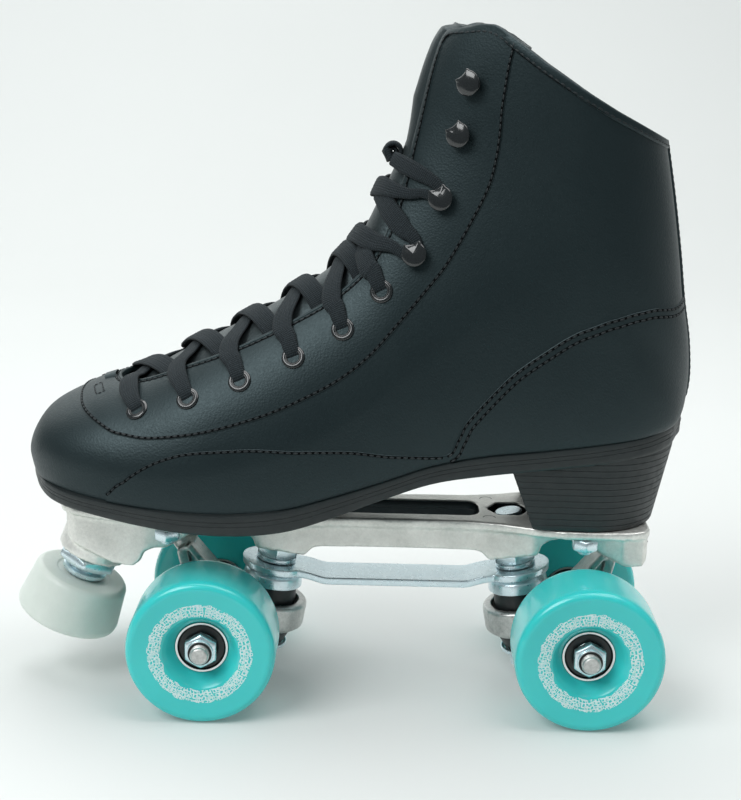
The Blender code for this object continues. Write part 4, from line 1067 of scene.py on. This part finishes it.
def laces():
    """Crossed flat laces through the eyelets and round the two lowest hooks, with a small rolled knot."""
    made = []
    over = STAY_THICK + STRAP_T / 2 + 0.75
    rows = EYELETS + HOOKS
    for side in SIDES:
        for k, (u, c) in enumerate(EYELETS):
            last = k == len(EYELETS) - 1
            next_u, next_c = rows[k + 1]
            gap, far_gap = throat_at(u), throat_at(u + 0.6)
            crest = -0.1 if side < 0 else STRAP_T + 0.15
            lean = 0.5 if last else 0.0
            line = [
                (u + 0.02, side * (c + 0.6), -1.8), (u - 0.03, side * (c - 2.2), STAY_THICK + 0.7),
                (u - 0.16, side * (c - 11), over), (u - 0.24, side * (gap + 4), over),
                (u - 0.26 - lean * 0.2, side * (gap - 4), over - 0.7),
                (u - 0.14 - lean * 0.8, side * gap * 0.45, crest - 0.3),
                (u + 0.06 - lean * 1.5, 0.0, crest),
            ]
            if not last:
                line += [(u + 0.34, -side * far_gap * 0.5, crest - 0.8),
                         (u + 0.60, -side * (far_gap - 1), -2.2),
                         (u + 0.72, -side * (far_gap + 8), -3.9)]
                made.append(strand(line, [5.4, 6.6] + [STRAP_W] * 8))
                continue
            line += [(u - 0.35, -side * 17, crest + 0.2), (u + 0.10, -side * 30, over - 0.6),
                     (u + 0.74, -side * 41.4, over),
                     *round_hook(next_u, -side * next_c, over)]
            made.append(strand(line, [5.4, 6.6] + [STRAP_W] * 7 + [7.0, 4.6, 3.6, 3.6], 110))
        u, c = HOOKS[0]
        next_u, next_c = HOOKS[1]
        crest = 0.5 if side < 0 else 0.5 + STRAP_T + 0.25
        line = [(u + 0.16, side * (c + 0.5), over), (u + 0.14, side * (c - 5), over),
                (u - 0.10, side * 40, over),
                (u - 0.35, side * 29, over - 0.3), (u - 0.52, side * 15, 1.4), (u - 0.62, 0.0, crest),
                (u - 0.10, -side * 19.8, crest), (u + 0.56, -side * 31.9, over),
                (u + 1.20, -side * 38.5, over),
                *round_hook(next_u, -side * next_c, over), (next_u + 0.06, -side * (next_c - 6), over),
                (next_u - 0.30, -side * 31, over), (next_u - 0.72, -side * 21, over),
                (next_u - 0.98, -side * 12, 1.8 + (side > 0) * 1.2)]
        made.append(strand(line, [3.6, 5.6] + [STRAP_W] * 6 + [6.6, 4.6, 3.6, 3.6, 3.6, 5.0, 6.6, 7.0, 6.0],
                           150))
    made += knot()
    points, faces = merged([(p, f) for p, f, _ in made])
    flow = np.vstack([w.reshape(-1, 2) for _, _, w in made])
    piece("woven_laces", points, faces, looks["lace"], replaces="lace", uv=flow, outward=False,
          sharp=70)


def knot():
    """The laces' ends, rolled round each other on the ridge."""
    u = HOOKS[1][0] - 0.9
    centre = boot(u, 0.0, 2.0)
    normal = boot_normal(np.array(u), np.array(0.0))
    upward = boot(u + 0.3, 0.0, 2.0) - centre
    upward /= np.linalg.norm(upward)
    made = []
    for offset, turns, radius, start in ((-0.2, 1.35, 3.5, 3.6), (0.4, 1.1, 1.7, 1.0)):
        angle = np.linspace(start, start + turns * 2 * pi, 50)
        reach = radius - 0.25 * np.linspace(0, 1, 50)
        ray = np.cos(angle)[:, None] * upward + np.sin(angle)[:, None] * normal
        slide = np.array([0, 1, 0]) * (offset + 0.9 * np.linspace(-1, 1, 50))[:, None]
        made.append(strap(centre + ray * reach[:, None] + slide, ray, 6.6, 1.6))
    for side in SIDES:
        line = [(u - 0.35, side * 3.0, 1.8), (u - 0.2, side * 2.0, 3.6), (u - 0.05, side * 1.0, 5.6)]
        made.append(strand(line, 6.0, 16))
    return made


# ---------------------------------------------------------------- the sole and heel

DECK_TOP, DECK_THICK = 78.3, 3.6
# x, underside z, half width
SOLE = np.array([
    (-155.6, 88.6, 12.0), (-152.0, 87.4, 21.5), (-146.0, 86.6, 32.0), (-137.0, 85.8, 39.8),
    (-124.0, 84.6, 45.0), (-105.0, 82.4, 48.6), (-86.0, 80.6, 49.6), (-66.0, 79.8, 48.2),
    (-46.0, 81.2, 45.0), (-27.0, 86.2, 41.0), (-7.0, 93.0, 37.4), (14.0, 99.6, 34.8), (36.0, 102.9, 33.4),
    (60.0, 106.0, 33.6), (84.0, 109.2, 33.4), (102.0, 112.0, 28.8), (112.0, 113.4, 19.5),
    (117.6, 114.2, 6.0),
])


def feather(x):
    """Height and sideways shift of the boot's lower edge, at x."""
    low = smooth_reading(SECTIONS[:17], np.linspace(0, 16, 200))
    return np.interp(x, low[:, 0], low[:, 1]), np.interp(x, low[:, 0], low[:, 8])


def sole_outline(steps=260):
    """The sole's edge in plan, all the way round, as x, y off the centre line, underside z."""
    half = smooth_reading(SOLE, np.linspace(0, len(SOLE) - 1, 400))
    nose = np.array([(-157.6, 89.4, 0.0), (-157.5, 89.3, 4.0), (-156.9, 89.1, 8.0)])
    tail = np.array([(119.2, 114.5, 3.0), (119.5, 114.6, 0.0)])
    half = np.vstack([nose, half, tail])
    loop = np.vstack([half * (1, 1, -1), half[::-1][1:-1]])
    return even(np.vstack([loop, loop[:1]]), steps + 1)[:-1]


def sole():
    outline = sole_outline()
    x, under, y = outline.T
    top, shift = feather(x)
    top = np.minimum(top, 122.0) + 1.2
    ahead = np.roll(outline, -1, 0) - np.roll(outline, 1, 0)
    outward = np.stack([ahead[:, 2], -ahead[:, 0]], 1)
    outward = unit(outward)
    if (outward * np.stack([x, y], 1)).sum() < 0:
        outward = -outward
    rows = []
    # (how far out, share of the height up): a bevelled bottom edge, two fine lines, the welt's groove and lip
    profile = [(-14.0, 0.0), (-3.0, 0.0), (-0.9, 0.0), (-0.25, 0.03), (0.15, 0.09), (0.35, 0.2), (0.42, 0.40),
               (0.26, 0.415), (0.26, 0.43), (0.46, 0.445), (0.52, 0.60), (0.36, 0.615), (0.36, 0.63),
               (0.6, 0.645), (0.75, 0.80), (0.6, 0.87), (0.0, 0.90), (-0.6, 0.91), (-0.6, 0.955),
               (-1.2, 0.97), (-8.0, 0.98)]
    for out, share in profile:
        if out < -10:
            px, py = np.clip(x, -140, 104), y * 0.55
        else:
            px, py = x + outward[:, 0] * out, y + outward[:, 1] * out
        rows.append(np.stack([px, py + shift, under + (top - under) * share], 1))
    middle = rows[0] * (1, 0, 1) + np.stack([0 * x, shift, 0 * x], 1)
    rows.insert(0, middle)
    piece("sole", np.array(rows), grid_faces(len(rows), len(x), close_columns=True), looks["sole"],
          replaces="outsole",
          sharp=30)


def heel():
    """The stacked heel: flat across the front, round at the back, with fine level grooves."""
    front_top, front_low, back_top, back_low, wide_top, wide_low = 43.7, 56.5, 117.0, 110.0, 33.0, 29.5
    floor = DECK_TOP + 0.3

    def outline(share):
        front, back = front_low + (front_top - front_low) * share, back_low + (back_top - back_low) * share
        wide = wide_low + (wide_top - wide_low) * share
        centre = back - wide * 1.02
        across = np.linspace(-1, 1, 25)
        line = [(front + 1.6 * t ** 2, t * wide * 0.96) for t in across[1:-1]]
        side = [(front, wide * 0.955), (front + 0.8, wide * 0.972), (front + 4, wide * 0.98)]
        side += [(x, wide * (0.98 + 0.02 * t)) for t,
                 x in zip(np.linspace(0, 1, 12), np.linspace(front + 6, centre, 12))]
        side += [(centre + wide * 1.02 * sin(a), wide * cos(a)) for a in np.linspace(0.06, pi / 2, 26)]
        return np.array(line + side + [(x, -y) for x, y in side[::-1][1:]])

    under_x, under_z = SOLE[:, 0], SOLE[:, 1]
    rows = []
    pitch, groove = 2.75, 0.16
    levels = [(floor, -0.8), (floor + 0.25, -0.2), (floor + 0.9, 0.0)]
    z = floor + 2.6
    while z < 114:
        levels += [(z - 0.22, 0.0), (z - 0.14, -groove), (z + 0.14, -groove), (z + 0.22, 0.0)]
        z += pitch
    levels.append((116.0, 0.0))
    for z, out in levels:
        share = min((z - floor) / (112.0 - floor), 1.0)
        ring = outline(share)
        centre = ring.mean(0)
        ray = ring - centre
        ring = ring + unit(ray) * out
        ceiling = np.interp(ring[:, 0], under_x, under_z) + 0.6
        rows.append(np.stack([ring[:, 0], ring[:, 1], np.minimum(z, ceiling)], 1))
    bottom = rows[0].copy()
    bottom[:, :2] = bottom[:, :2].mean(0) + (bottom[:, :2] - bottom[:, :2].mean(0)) * 0.05
    rows.insert(0, bottom)
    piece("stacked_heel", np.array(rows), grid_faces(len(rows), len(rows[0]), close_columns=True),
          looks["sole"],
          replaces="heel_block", sharp=28)


def insole():
    """The cushioned insole, cupped at its edges."""
    xs = np.linspace(-148, 112, 70)
    low = smooth_reading(SECTIONS[:17], np.linspace(0, 16, 300))
    half = np.interp(xs, low[:, 0], low[:, 4]) - 4.0
    half = np.where(xs > 101, np.minimum(half, 24.5 * np.sqrt(np.clip((114 - xs) / 13, 0, 1)) + 1), half)
    z = np.interp(xs, low[:, 0], low[:, 1])
    shift = np.interp(xs, low[:, 0], low[:, 8])
    t = np.linspace(-1, 1, 25)
    grid = []
    for x, w, height, s in zip(xs, half, z, shift):
        cup = 3.4 + 2.2 * np.abs(t) ** 4 + 0.4 * np.cos(t * pi)
        grid.append(np.stack([np.full(25, x), s + t * w, height + cup], 1))
    made = piece("cushioned_insole", np.array(grid), grid_faces(len(xs), 25), looks["lining"],
                 replaces="insole",
                 outward=False)


upper()
lining()
overlays()
binding()
seams()
throat_tab()
backstay()
tongue()
eyelets()
hooks()
laces()
sole()
heel()
insole()

# ---------------------------------------------------------------- the running gear

AXLE_X, AXLE_Z = 80.0, 30.882
TILT = radians(10)
KINGPIN_TOP = np.array([-50.8, 0, 63.0])
DOWN = np.array([-sin(TILT), 0, -cos(TILT)])
PIVOT = np.array([-99.5, 0, 66.5])
STEER = np.array([-0.751657, 0, 0.659554])
STOP_TILT = radians(22)
STOP_FACE = np.array([-133.7, 0, 54.5])
STOP_DOWN = np.array([-sin(STOP_TILT), 0, -cos(STOP_TILT)])


def show_cast(node, look, size=0.75, smoothing=6):
    """A CAD casting, its edges softened as a mould leaves them."""
    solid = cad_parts[node]
    solid.data.materials.clear()
    solid.data.materials.append(look)
    solid.data.shade_smooth()
    remesh = solid.modifiers.new("cast", "REMESH")
    remesh.mode = "VOXEL"
    remesh.voxel_size = size * MM
    remesh.use_smooth_shade = True
    ease = solid.modifiers.new("ease", "SMOOTH")
    ease.factor = 0.5
    ease.iterations = smoothing


def wheels():
    face = [
        (11.05, 47.3), (11.3, 48.0), (12.4, 49.5), (14.0, 52.0), (15.6, 54.0), (17.0, 54.6), (19.0, 54.8),
        (22.0, 55.0), (25.8, 55.4), (27.6, 55.65), (28.6, 55.62), (29.5, 55.2), (30.25, 54.4), (30.7, 53.5),
        (30.9, 52.4), (31.0, 51.0), (31.0, 40.0), (31.0, 29.6), (30.85, 28.2), (30.3, 26.4), (29.3, 25.2),
        (28.2, 24.7), (22.0, 24.8), (14.0, 25.0), (12.2, 25.3), (11.3, 26.0), (11.1, 27.0), (11.05, 33.0),
        (8.2, 33.5), (8.2, 41.0), (11.05, 41.3),
    ]
    for end in ("front", "rear"):
        for side in SIDES:
            word = "left" if side < 0 else "right"
            hub = (-AXLE_X if end == "front" else AXLE_X, 0, AXLE_Z)
            body = f"{end}_{word}_wheel"
            where = f"{end}_{word}"
            profile = rounded([(r, side * y) for r, y in face], 0.3, 2, closed=True)
            points, faces = turned(profile, centre=hub, segments=128, closed=True)
            piece(f"tyre_{where}", points, faces, looks["urethane"], body, f"wheel_{where}",
                  hub, sharp=50)
            rings, shields = [], []
            for start, which in ((41.2, 1), (26.4, -1)):
                outer = rounded([(9.9, 0.35), (10.0, 0.1), (11.0, 0.0), (11.0, 7.0), (10.0, 6.9),
                                 (9.9, 6.65)], 0.25, closed=True)
                inner = rounded([(4.15, 0.0), (6.0, 0.05), (6.2, 0.3), (6.2, 6.7), (6.0, 6.95), (4.15, 7.0)],
                                0.25, closed=True)
                for ring in (outer, inner):
                    rings.append(turned([(r, side * (start + a)) for r, a in ring], centre=hub, closed=True))
                cover = rounded([(6.3, 0.75), (7.2, 0.55), (9.3, 0.6), (9.6, 0.9), (9.6, 6.1), (9.3, 6.4),
                                 (7.2, 6.45), (6.3, 6.25)], 0.3, closed=True)
                shields.append(turned([(r, side * (start + a)) for r, a in cover], centre=hub, closed=True))
            points, faces = merged(rings)
            piece(f"bearing_rings_{where}", points, faces, looks["bearing"], body,
                  (f"outer_bearing_{where}", f"inner_bearing_{where}"), hub)
            points, faces = merged(shields)
            piece(f"bearing_shields_{where}", points, faces, looks["shield"], body, (), hub)


def axle(end):
    body = f"truck_{end}"
    hub = (-AXLE_X if end == "front" else AXLE_X, 0, AXLE_Z)
    tip = threaded(4.0, 44.0, 57.2, 0.95, 0.3)
    half = [(4.0, 0.0), (4.0, 43.5)] + tip + [(3.5, 57.6), (3.0, 58.0), (0.01, 57.9)]
    profile = [(r, -a) for r, a in half[::-1]] + half[1:]
    points, faces = turned(profile, centre=hub, segments=48)
    piece(f"threaded_axle_{end}", points, faces, looks["rough_steel"], body, f"axle_{end}", hub,
          sharp=30)
    for side in SIDES:
        where = f"{end}_{'left' if side < 0 else 'right'}"
        nut = hexagon(12.7, 4.3, side * 48.6, side * 53.1, (0, 1, 0), hub)
        collar = turned(rounded([(4.3, side * 53.1), (5.5, side * 53.1), (5.5, side * 54.5),
                                 (4.3, side * 54.5)], 0.5, closed=True),
                        centre=hub, segments=64, closed=True)
        points, faces = merged([nut, collar])
        piece(f"lock_nut_{where}", points, faces, looks["zinc"], body, f"axle_nut_{where}", hub)
        insert = [(4.15, side * 54.0), (5.0, side * 54.0), (5.0, side * 54.8), (4.15, side * 54.8),
                  (4.15, side * 54.0)]
        points, faces = turned(rounded(insert, 0.2), centre=hub, segments=48)
        piece(f"nut_insert_{where}", points, faces, looks["shield"], body, (), hub)


def on_kingpin(end, profile, segments=80, closed=True):
    points, faces = turned(profile, DOWN, KINGPIN_TOP, segments, closed)
    return half_turn(points, end), faces


def crush(cushion):
    """Gives a rubber cushion a mesh of its own."""
    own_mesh(cushion)


def truck(end):
    show_cast(f"hanger_{end}", looks["hanger"], 0.62, 5)
    axle(end)
    pin = [(0.01, -14.9), (5.4, -14.8), (6.2, -14.1), (6.3, -9.5), (5.0, -9.4), (5.0, -1.0)]
    pin += threaded(5.0, -0.5, 14.0, 1.2, 0.35) + [(5.0, 14.5), (5.0, 50.5)]
    shank = on_kingpin(end, pin, closed=False)
    head_points, head_faces = hexagon(16.0, 0.02, 50.9, 56.3, DOWN, KINGPIN_TOP)
    points, faces = merged([shank, (half_turn(head_points, end), head_faces)])
    piece(f"king_bolt_{end}", points, faces, looks["zinc"], BOOT, f"kingpin_{end}", sharp=32)
    nut_points, nut_faces = hexagon(17.0, 5.3, 0.4, 8.0, DOWN, KINGPIN_TOP)
    flange = on_kingpin(end, rounded([(5.4, 8.0), (8.6, 8.0), (8.7, 10.0), (5.4, 10.0)], 0.4, closed=True))
    points, faces = merged([(half_turn(nut_points, end), nut_faces), flange])
    piece(f"kingpin_nut_{end}", points, faces, looks["zinc"], BOOT, f"kingpin_lock_nut_{end}")
    cup = rounded([(5.4, 14.0), (9.0, 14.0), (11.6, 14.6), (12.7, 15.8), (13.2, 20.2), (12.4, 20.4),
                   (11.9, 17.0), (10.9, 15.7), (5.4, 15.4)], 0.45, closed=True)
    points, faces = on_kingpin(end, cup)
    piece(f"top_retainer_{end}", points, faces, looks["zinc"], BOOT, f"upper_retainer_{end}")
    soft = rounded([(5.4, 17.6), (10.2, 17.6), (10.8, 19.0), (11.0, 21.5), (11.5, 25.5), (11.5, 30.9),
                    (10.9, 31.5), (5.4, 31.5)],
                   1.0, closed=True)
    points, faces = on_kingpin(end, soft)
    made = piece(f"cushion_upper_{end}", points, faces, looks["rubber"], BOOT, f"upper_cushion_{end}")
    crush(made)
    soft = rounded([(5.4, 37.5), (12.2, 37.5), (12.2, 41.2), (11.2, 43.6), (10.3, 45.9), (9.8, 47.6),
                    (5.4, 47.6)], 0.9, closed=True)
    points, faces = on_kingpin(end, soft)
    made = piece(f"cushion_lower_{end}", points, faces, looks["rubber"], BOOT, f"lower_cushion_{end}")
    crush(made)
    cup = rounded([(5.4, 50.5), (8.0, 50.5), (10.4, 50.1), (11.4, 49.0), (11.5, 47.6), (10.8, 47.6),
                   (10.2, 48.8), (5.4, 49.1)],
                  0.4, closed=True)
    points, faces = on_kingpin(end, cup)
    piece(f"bottom_retainer_{end}", points, faces, looks["zinc"], BOOT, f"lower_retainer_{end}")
    cup = rounded([(5.6, -1.5), (8.0, -1.5), (8.0, 7.0), (0.01, 7.0), (0.01, 5.4), (5.6, 5.4)], 0.5)
    points, faces = turned(cup, STEER, PIVOT, 64, True)
    piece(f"pivot_bush_{end}", half_turn(points, end), faces, looks["rubber"], BOOT, f"pivot_cup_{end}")


def jump_bar():
    """A flat bar with looped ends, its ends bent square to the kingpins."""
    top = KINGPIN_TOP + DOWN * 10.4
    centre = abs(top[0]) + 0.4
    low, high, drop, thick = 31.0, 38.0, 4.8, 3.2
    slope = sin(TILT) / cos(TILT)
    start = 0.80
    right = [(centre + 14.2 * sin(a), 14.2 * cos(a)) for a in np.linspace(-start, pi / 2, 30)]
    neck_x, neck_y = right[0]
    ease = [(x, 10.0 + (neck_y - 10.0) * t ** 2 * (3 - 2 * t)) for t, x in
            ((t, neck_x - 9 + 9 * t) for t in np.linspace(0, 1, 8)[:-1])]
    quarter = [(0.0, 10.0), (20.0, 10.0)] + ease + right
    outline = quarter + [(x, -y) for x, y in quarter[::-1][1:]]
    outline += [(-x, -y) for x, y in quarter[1:]] + [(-x, y) for x, y in quarter[::-1][1:-1]]
    plan = bpy.data.curves.new("bar_plan", "CURVE")
    plan.dimensions = "2D"
    plan.fill_mode = "BOTH"
    plan.extrude, plan.bevel_depth, plan.bevel_resolution = (thick / 2 - 0.5) * MM, 0.5 * MM, 2
    shrink = 0.5
    hole_r = 5.4
    hole = [(hole_r * cos(a), hole_r * sin(a)) for a in np.linspace(0, 2 * pi, 32, False)]
    right_hole = [(centre + x, y) for x, y in hole]
    left_hole = [(-centre + x, y) for x, y in hole]
    for loop, out in ((outline, -shrink), (right_hole, shrink), (left_hole, shrink)):
        loop = np.array(loop)
        middle = loop.mean(0)
        if out > 0:
            loop = middle + (loop - middle) * (1 + shrink / hole_r)
        else:
            ahead = np.roll(loop, -1, 0) - np.roll(loop, 1, 0)
            normal = np.stack([-ahead[:, 1], ahead[:, 0]], 1)
            normal = unit(normal)
            if (normal * (loop - middle)).sum() > 0:
                normal = -normal
            loop = loop + normal * shrink
        spline = plan.splines.new("POLY")
        spline.points.add(len(loop) - 1)
        spline.use_cyclic_u = True
        for point, (x, y) in zip(spline.points, loop):
            point.co = (x * MM, y * MM, 0, 1)
    holder = bpy.data.objects.new("bar_plan", plan)
    bpy.context.scene.collection.objects.link(holder)
    bpy.context.view_layer.update()
    mesh = bpy.data.meshes.new_from_object(holder.evaluated_get(bpy.context.evaluated_depsgraph_get()))
    bpy.data.objects.remove(holder, do_unlink=True)
    body = bmesh.new()
    body.from_mesh(mesh)
    for x in (-39.5, -38, -36.5, -34.5, -32.5, -31, -29.5, 29.5, 31, 32.5, 34.5, 36.5, 38, 39.5):
        bmesh.ops.bisect_plane(body, geom=[*body.verts, *body.edges, *body.faces], plane_co=(x * MM, 0, 0),
                               plane_no=(1, 0, 0))
    bmesh.ops.triangulate(body, faces=[f for f in body.faces if len(f.verts) > 4])
    points = np.array([v.co for v in body.verts]) / MM
    faces = [[v.index for v in f.verts] for f in body.faces]
    body.free()
    height = [np.interp(np.abs(points[:, 0]) + shift, [0, low, high, high + 30],
                        [-drop, -drop, slope * (top[0] + high),
                         slope * (top[0] + high + 30)]) for shift in (-1.5, -0.5, 0.5, 1.5)]
    points[:, 2] = points[:, 2] + top[2] - thick / 2 + np.mean(height, 0)
    piece("suspension_bar", points, faces, looks["zinc"], BOOT, "jump_bar", sharp=35)


def toe_stop():
    """The rubber pad, its threaded stem and its lock nut."""
    rubber = rounded([(7.0, 19.0), (7.0, 11.4), (11.5, 11.4), (12.2, 10.8), (19.0, 10.7), (20.6, 12.4),
                      (22.8, 29.6), (22.0, 31.9), (20.0, 33.0), (0.01, 33.0)], 1.1, 4)
    points, faces = turned(rubber, STOP_DOWN, STOP_FACE, 112)
    piece("toe_stop_pad", points, faces, looks["stop"], "toe_stop", "toe_stop_rubber",
          STOP_FACE)
    stem = [(0.01, -17.0), (7.2, -17.0), (7.9, -16.3)] + threaded(7.9, -16.0, 7.4, 1.3, 0.45)
    stem += [(7.6, 7.6), (9.2, 7.9), (9.8, 8.3), (9.8, 9.8), (9.4, 10.3), (6.4, 10.4), (6.4, 18.8),
             (0.01, 19.0)]
    points, faces = turned(stem, STOP_DOWN, STOP_FACE, 80)
    piece("toe_stop_screw", points, faces, looks["zinc"], "toe_stop", "toe_stop_stem",
          STOP_FACE, sharp=32)
    points, faces = hexagon(23.8, 8.2, 0.35, 5.8, STOP_DOWN, STOP_FACE, chamfer=0.93)
    piece("toe_stop_nut", points, faces, looks["zinc"], BOOT, "toe_stop_lock_nut", STOP_FACE)


def mounting():
    """The four bolts through plate and sole, with their nuts."""
    bolts = {"front": (-97.0, 23.5, 88.6), "rear": (79.0, 24.5, 107.6)}
    for end, (x, y, top) in bolts.items():
        for side in SIDES:
            word = "left" if side < 0 else "right"
            at = (x, side * y, 0)
            under = DECK_TOP - DECK_THICK - 0.3
            profile = [(0.01, under - 7.0), (2.4, under - 7.0), (2.9, under - 6.5)]
            profile += threaded(3.0, under - 6.3, under - 0.5, 1.0, 0.3) + [(3.0, under), (3.0, top),
                                                                            (0.01, top)]
            points, faces = turned(profile, (0, 0, 1), at, 40)
            piece(f"boot_screw_{end}_{word}", points, faces, looks["zinc"], BOOT, f"mount_bolt_{end}_{word}",
                  at, sharp=32)
            points, faces = hexagon(10.0, 3.2, under - 5.2, under - 0.1, (0, 0, 1), at, 72)
            piece(f"boot_nut_{end}_{word}", points, faces, looks["zinc"], BOOT, f"mount_nut_{end}_{word}",
                  at)


show_cast("plate", looks["casting"])
wheels()
truck("front")
truck("rear")
jump_bar()
toe_stop()
mounting()


# ---------------------------------------------------------------- camera, floor and light

def camera():
    yaw, pitch, roll = radians(-0.28), radians(14.59), radians(1.26)
    ahead = Vector((sin(yaw) * cos(pitch), cos(yaw) * cos(pitch), -sin(pitch)))
    right = Vector((cos(yaw), -sin(yaw), 0))
    up = right.cross(ahead)
    right, up = right * cos(roll) + up * sin(roll), up * cos(roll) - right * sin(roll)
    lens = bpy.data.cameras.new("camera")
    lens.lens, lens.sensor_width, lens.sensor_fit = 68.26, 36.0, "AUTO"
    lens.clip_start, lens.clip_end = 0.01, 20.0
    made = bpy.data.objects.new("camera", lens)
    bpy.context.scene.collection.objects.link(made)
    turn = Matrix((right, up, -ahead)).transposed()
    place = Vector((-9.6, -628.2, 289.2)) + Vector(SHIFT)
    made.matrix_world = Matrix.Translation(place * MM) @ turn.to_4x4()
    bpy.context.scene.camera = made


def studio():
    line = [(-0.42, 0.0), (-0.2, 0.0), (0.3, 0.0), (0.9, 0.0)]
    line += [(0.9 + 0.7 * sin(a), 0.7 * (1 - cos(a))) for a in np.linspace(0.1, pi / 2, 16)]
    line += [(1.6, 1.6), (1.6, 2.6)]
    xs = np.linspace(-3, 3, 9)
    points = [(x, y, z) for y, z in line for x in xs]
    mesh = bpy.data.meshes.new("backdrop")
    mesh.from_pydata(points, [], grid_faces(len(line), len(xs)))
    mesh.shade_smooth()
    look = Look("pale_paper", (0.86, 0.89, 0.89), 0.7, Specular_IOR_Level=0.25)
    look.colour(look.blend(look.noise(400, 2), (0.595, 0.61, 0.60), (0.635, 0.65, 0.64)))
    look.set("Emission Color", (0.96, 0.985, 0.965, 1.0))
    look.set("Emission Strength", 0.10)
    look.bump(look.noise(1.2, 2), 0.02, 0.3)
    mesh.materials.append(look.material)
    made = bpy.data.objects.new("backdrop", mesh)
    bpy.context.scene.collection.objects.link(made)

    def lamp(name, at, aim, size, power, colour=(1, 1, 1)):
        data = bpy.data.lights.new(name, "AREA")
        data.shape = "RECTANGLE"
        data.size, data.size_y = size
        data.energy = power
        data.color = colour
        holder = bpy.data.objects.new(name, data)
        bpy.context.scene.collection.objects.link(holder)
        holder.location = at
        holder.rotation_euler = (Vector(aim) - Vector(at)).to_track_quat("-Z", "Y").to_euler()

    lamp("overhead", (0.25, 0.25, 1.7), (0.1, 0.05, 0), (2.2, 1.4), 31, (1.0, 1.0, 1.0))
    lamp("back_fill", (-0.9, 1.2, 1.0), (0, 0, 0.15), (1.0, 0.8), 3, (0.97, 1.0, 1.0))
    lamp("high_key", (-1.0, -0.9, 1.5), (0, 0, 0.1), (1.2, 1.0), 23, (0.98, 1.0, 1.0))
    world = bpy.data.worlds.new("room")
    world.use_nodes = True
    world.node_tree.nodes["Background"].inputs[0].default_value = (0.80, 0.90, 0.93, 1)
    world.node_tree.nodes["Background"].inputs[1].default_value = 0.26
    bpy.context.scene.world = world
    bpy.context.scene.view_settings.view_transform = "Standard"


camera()
studio()
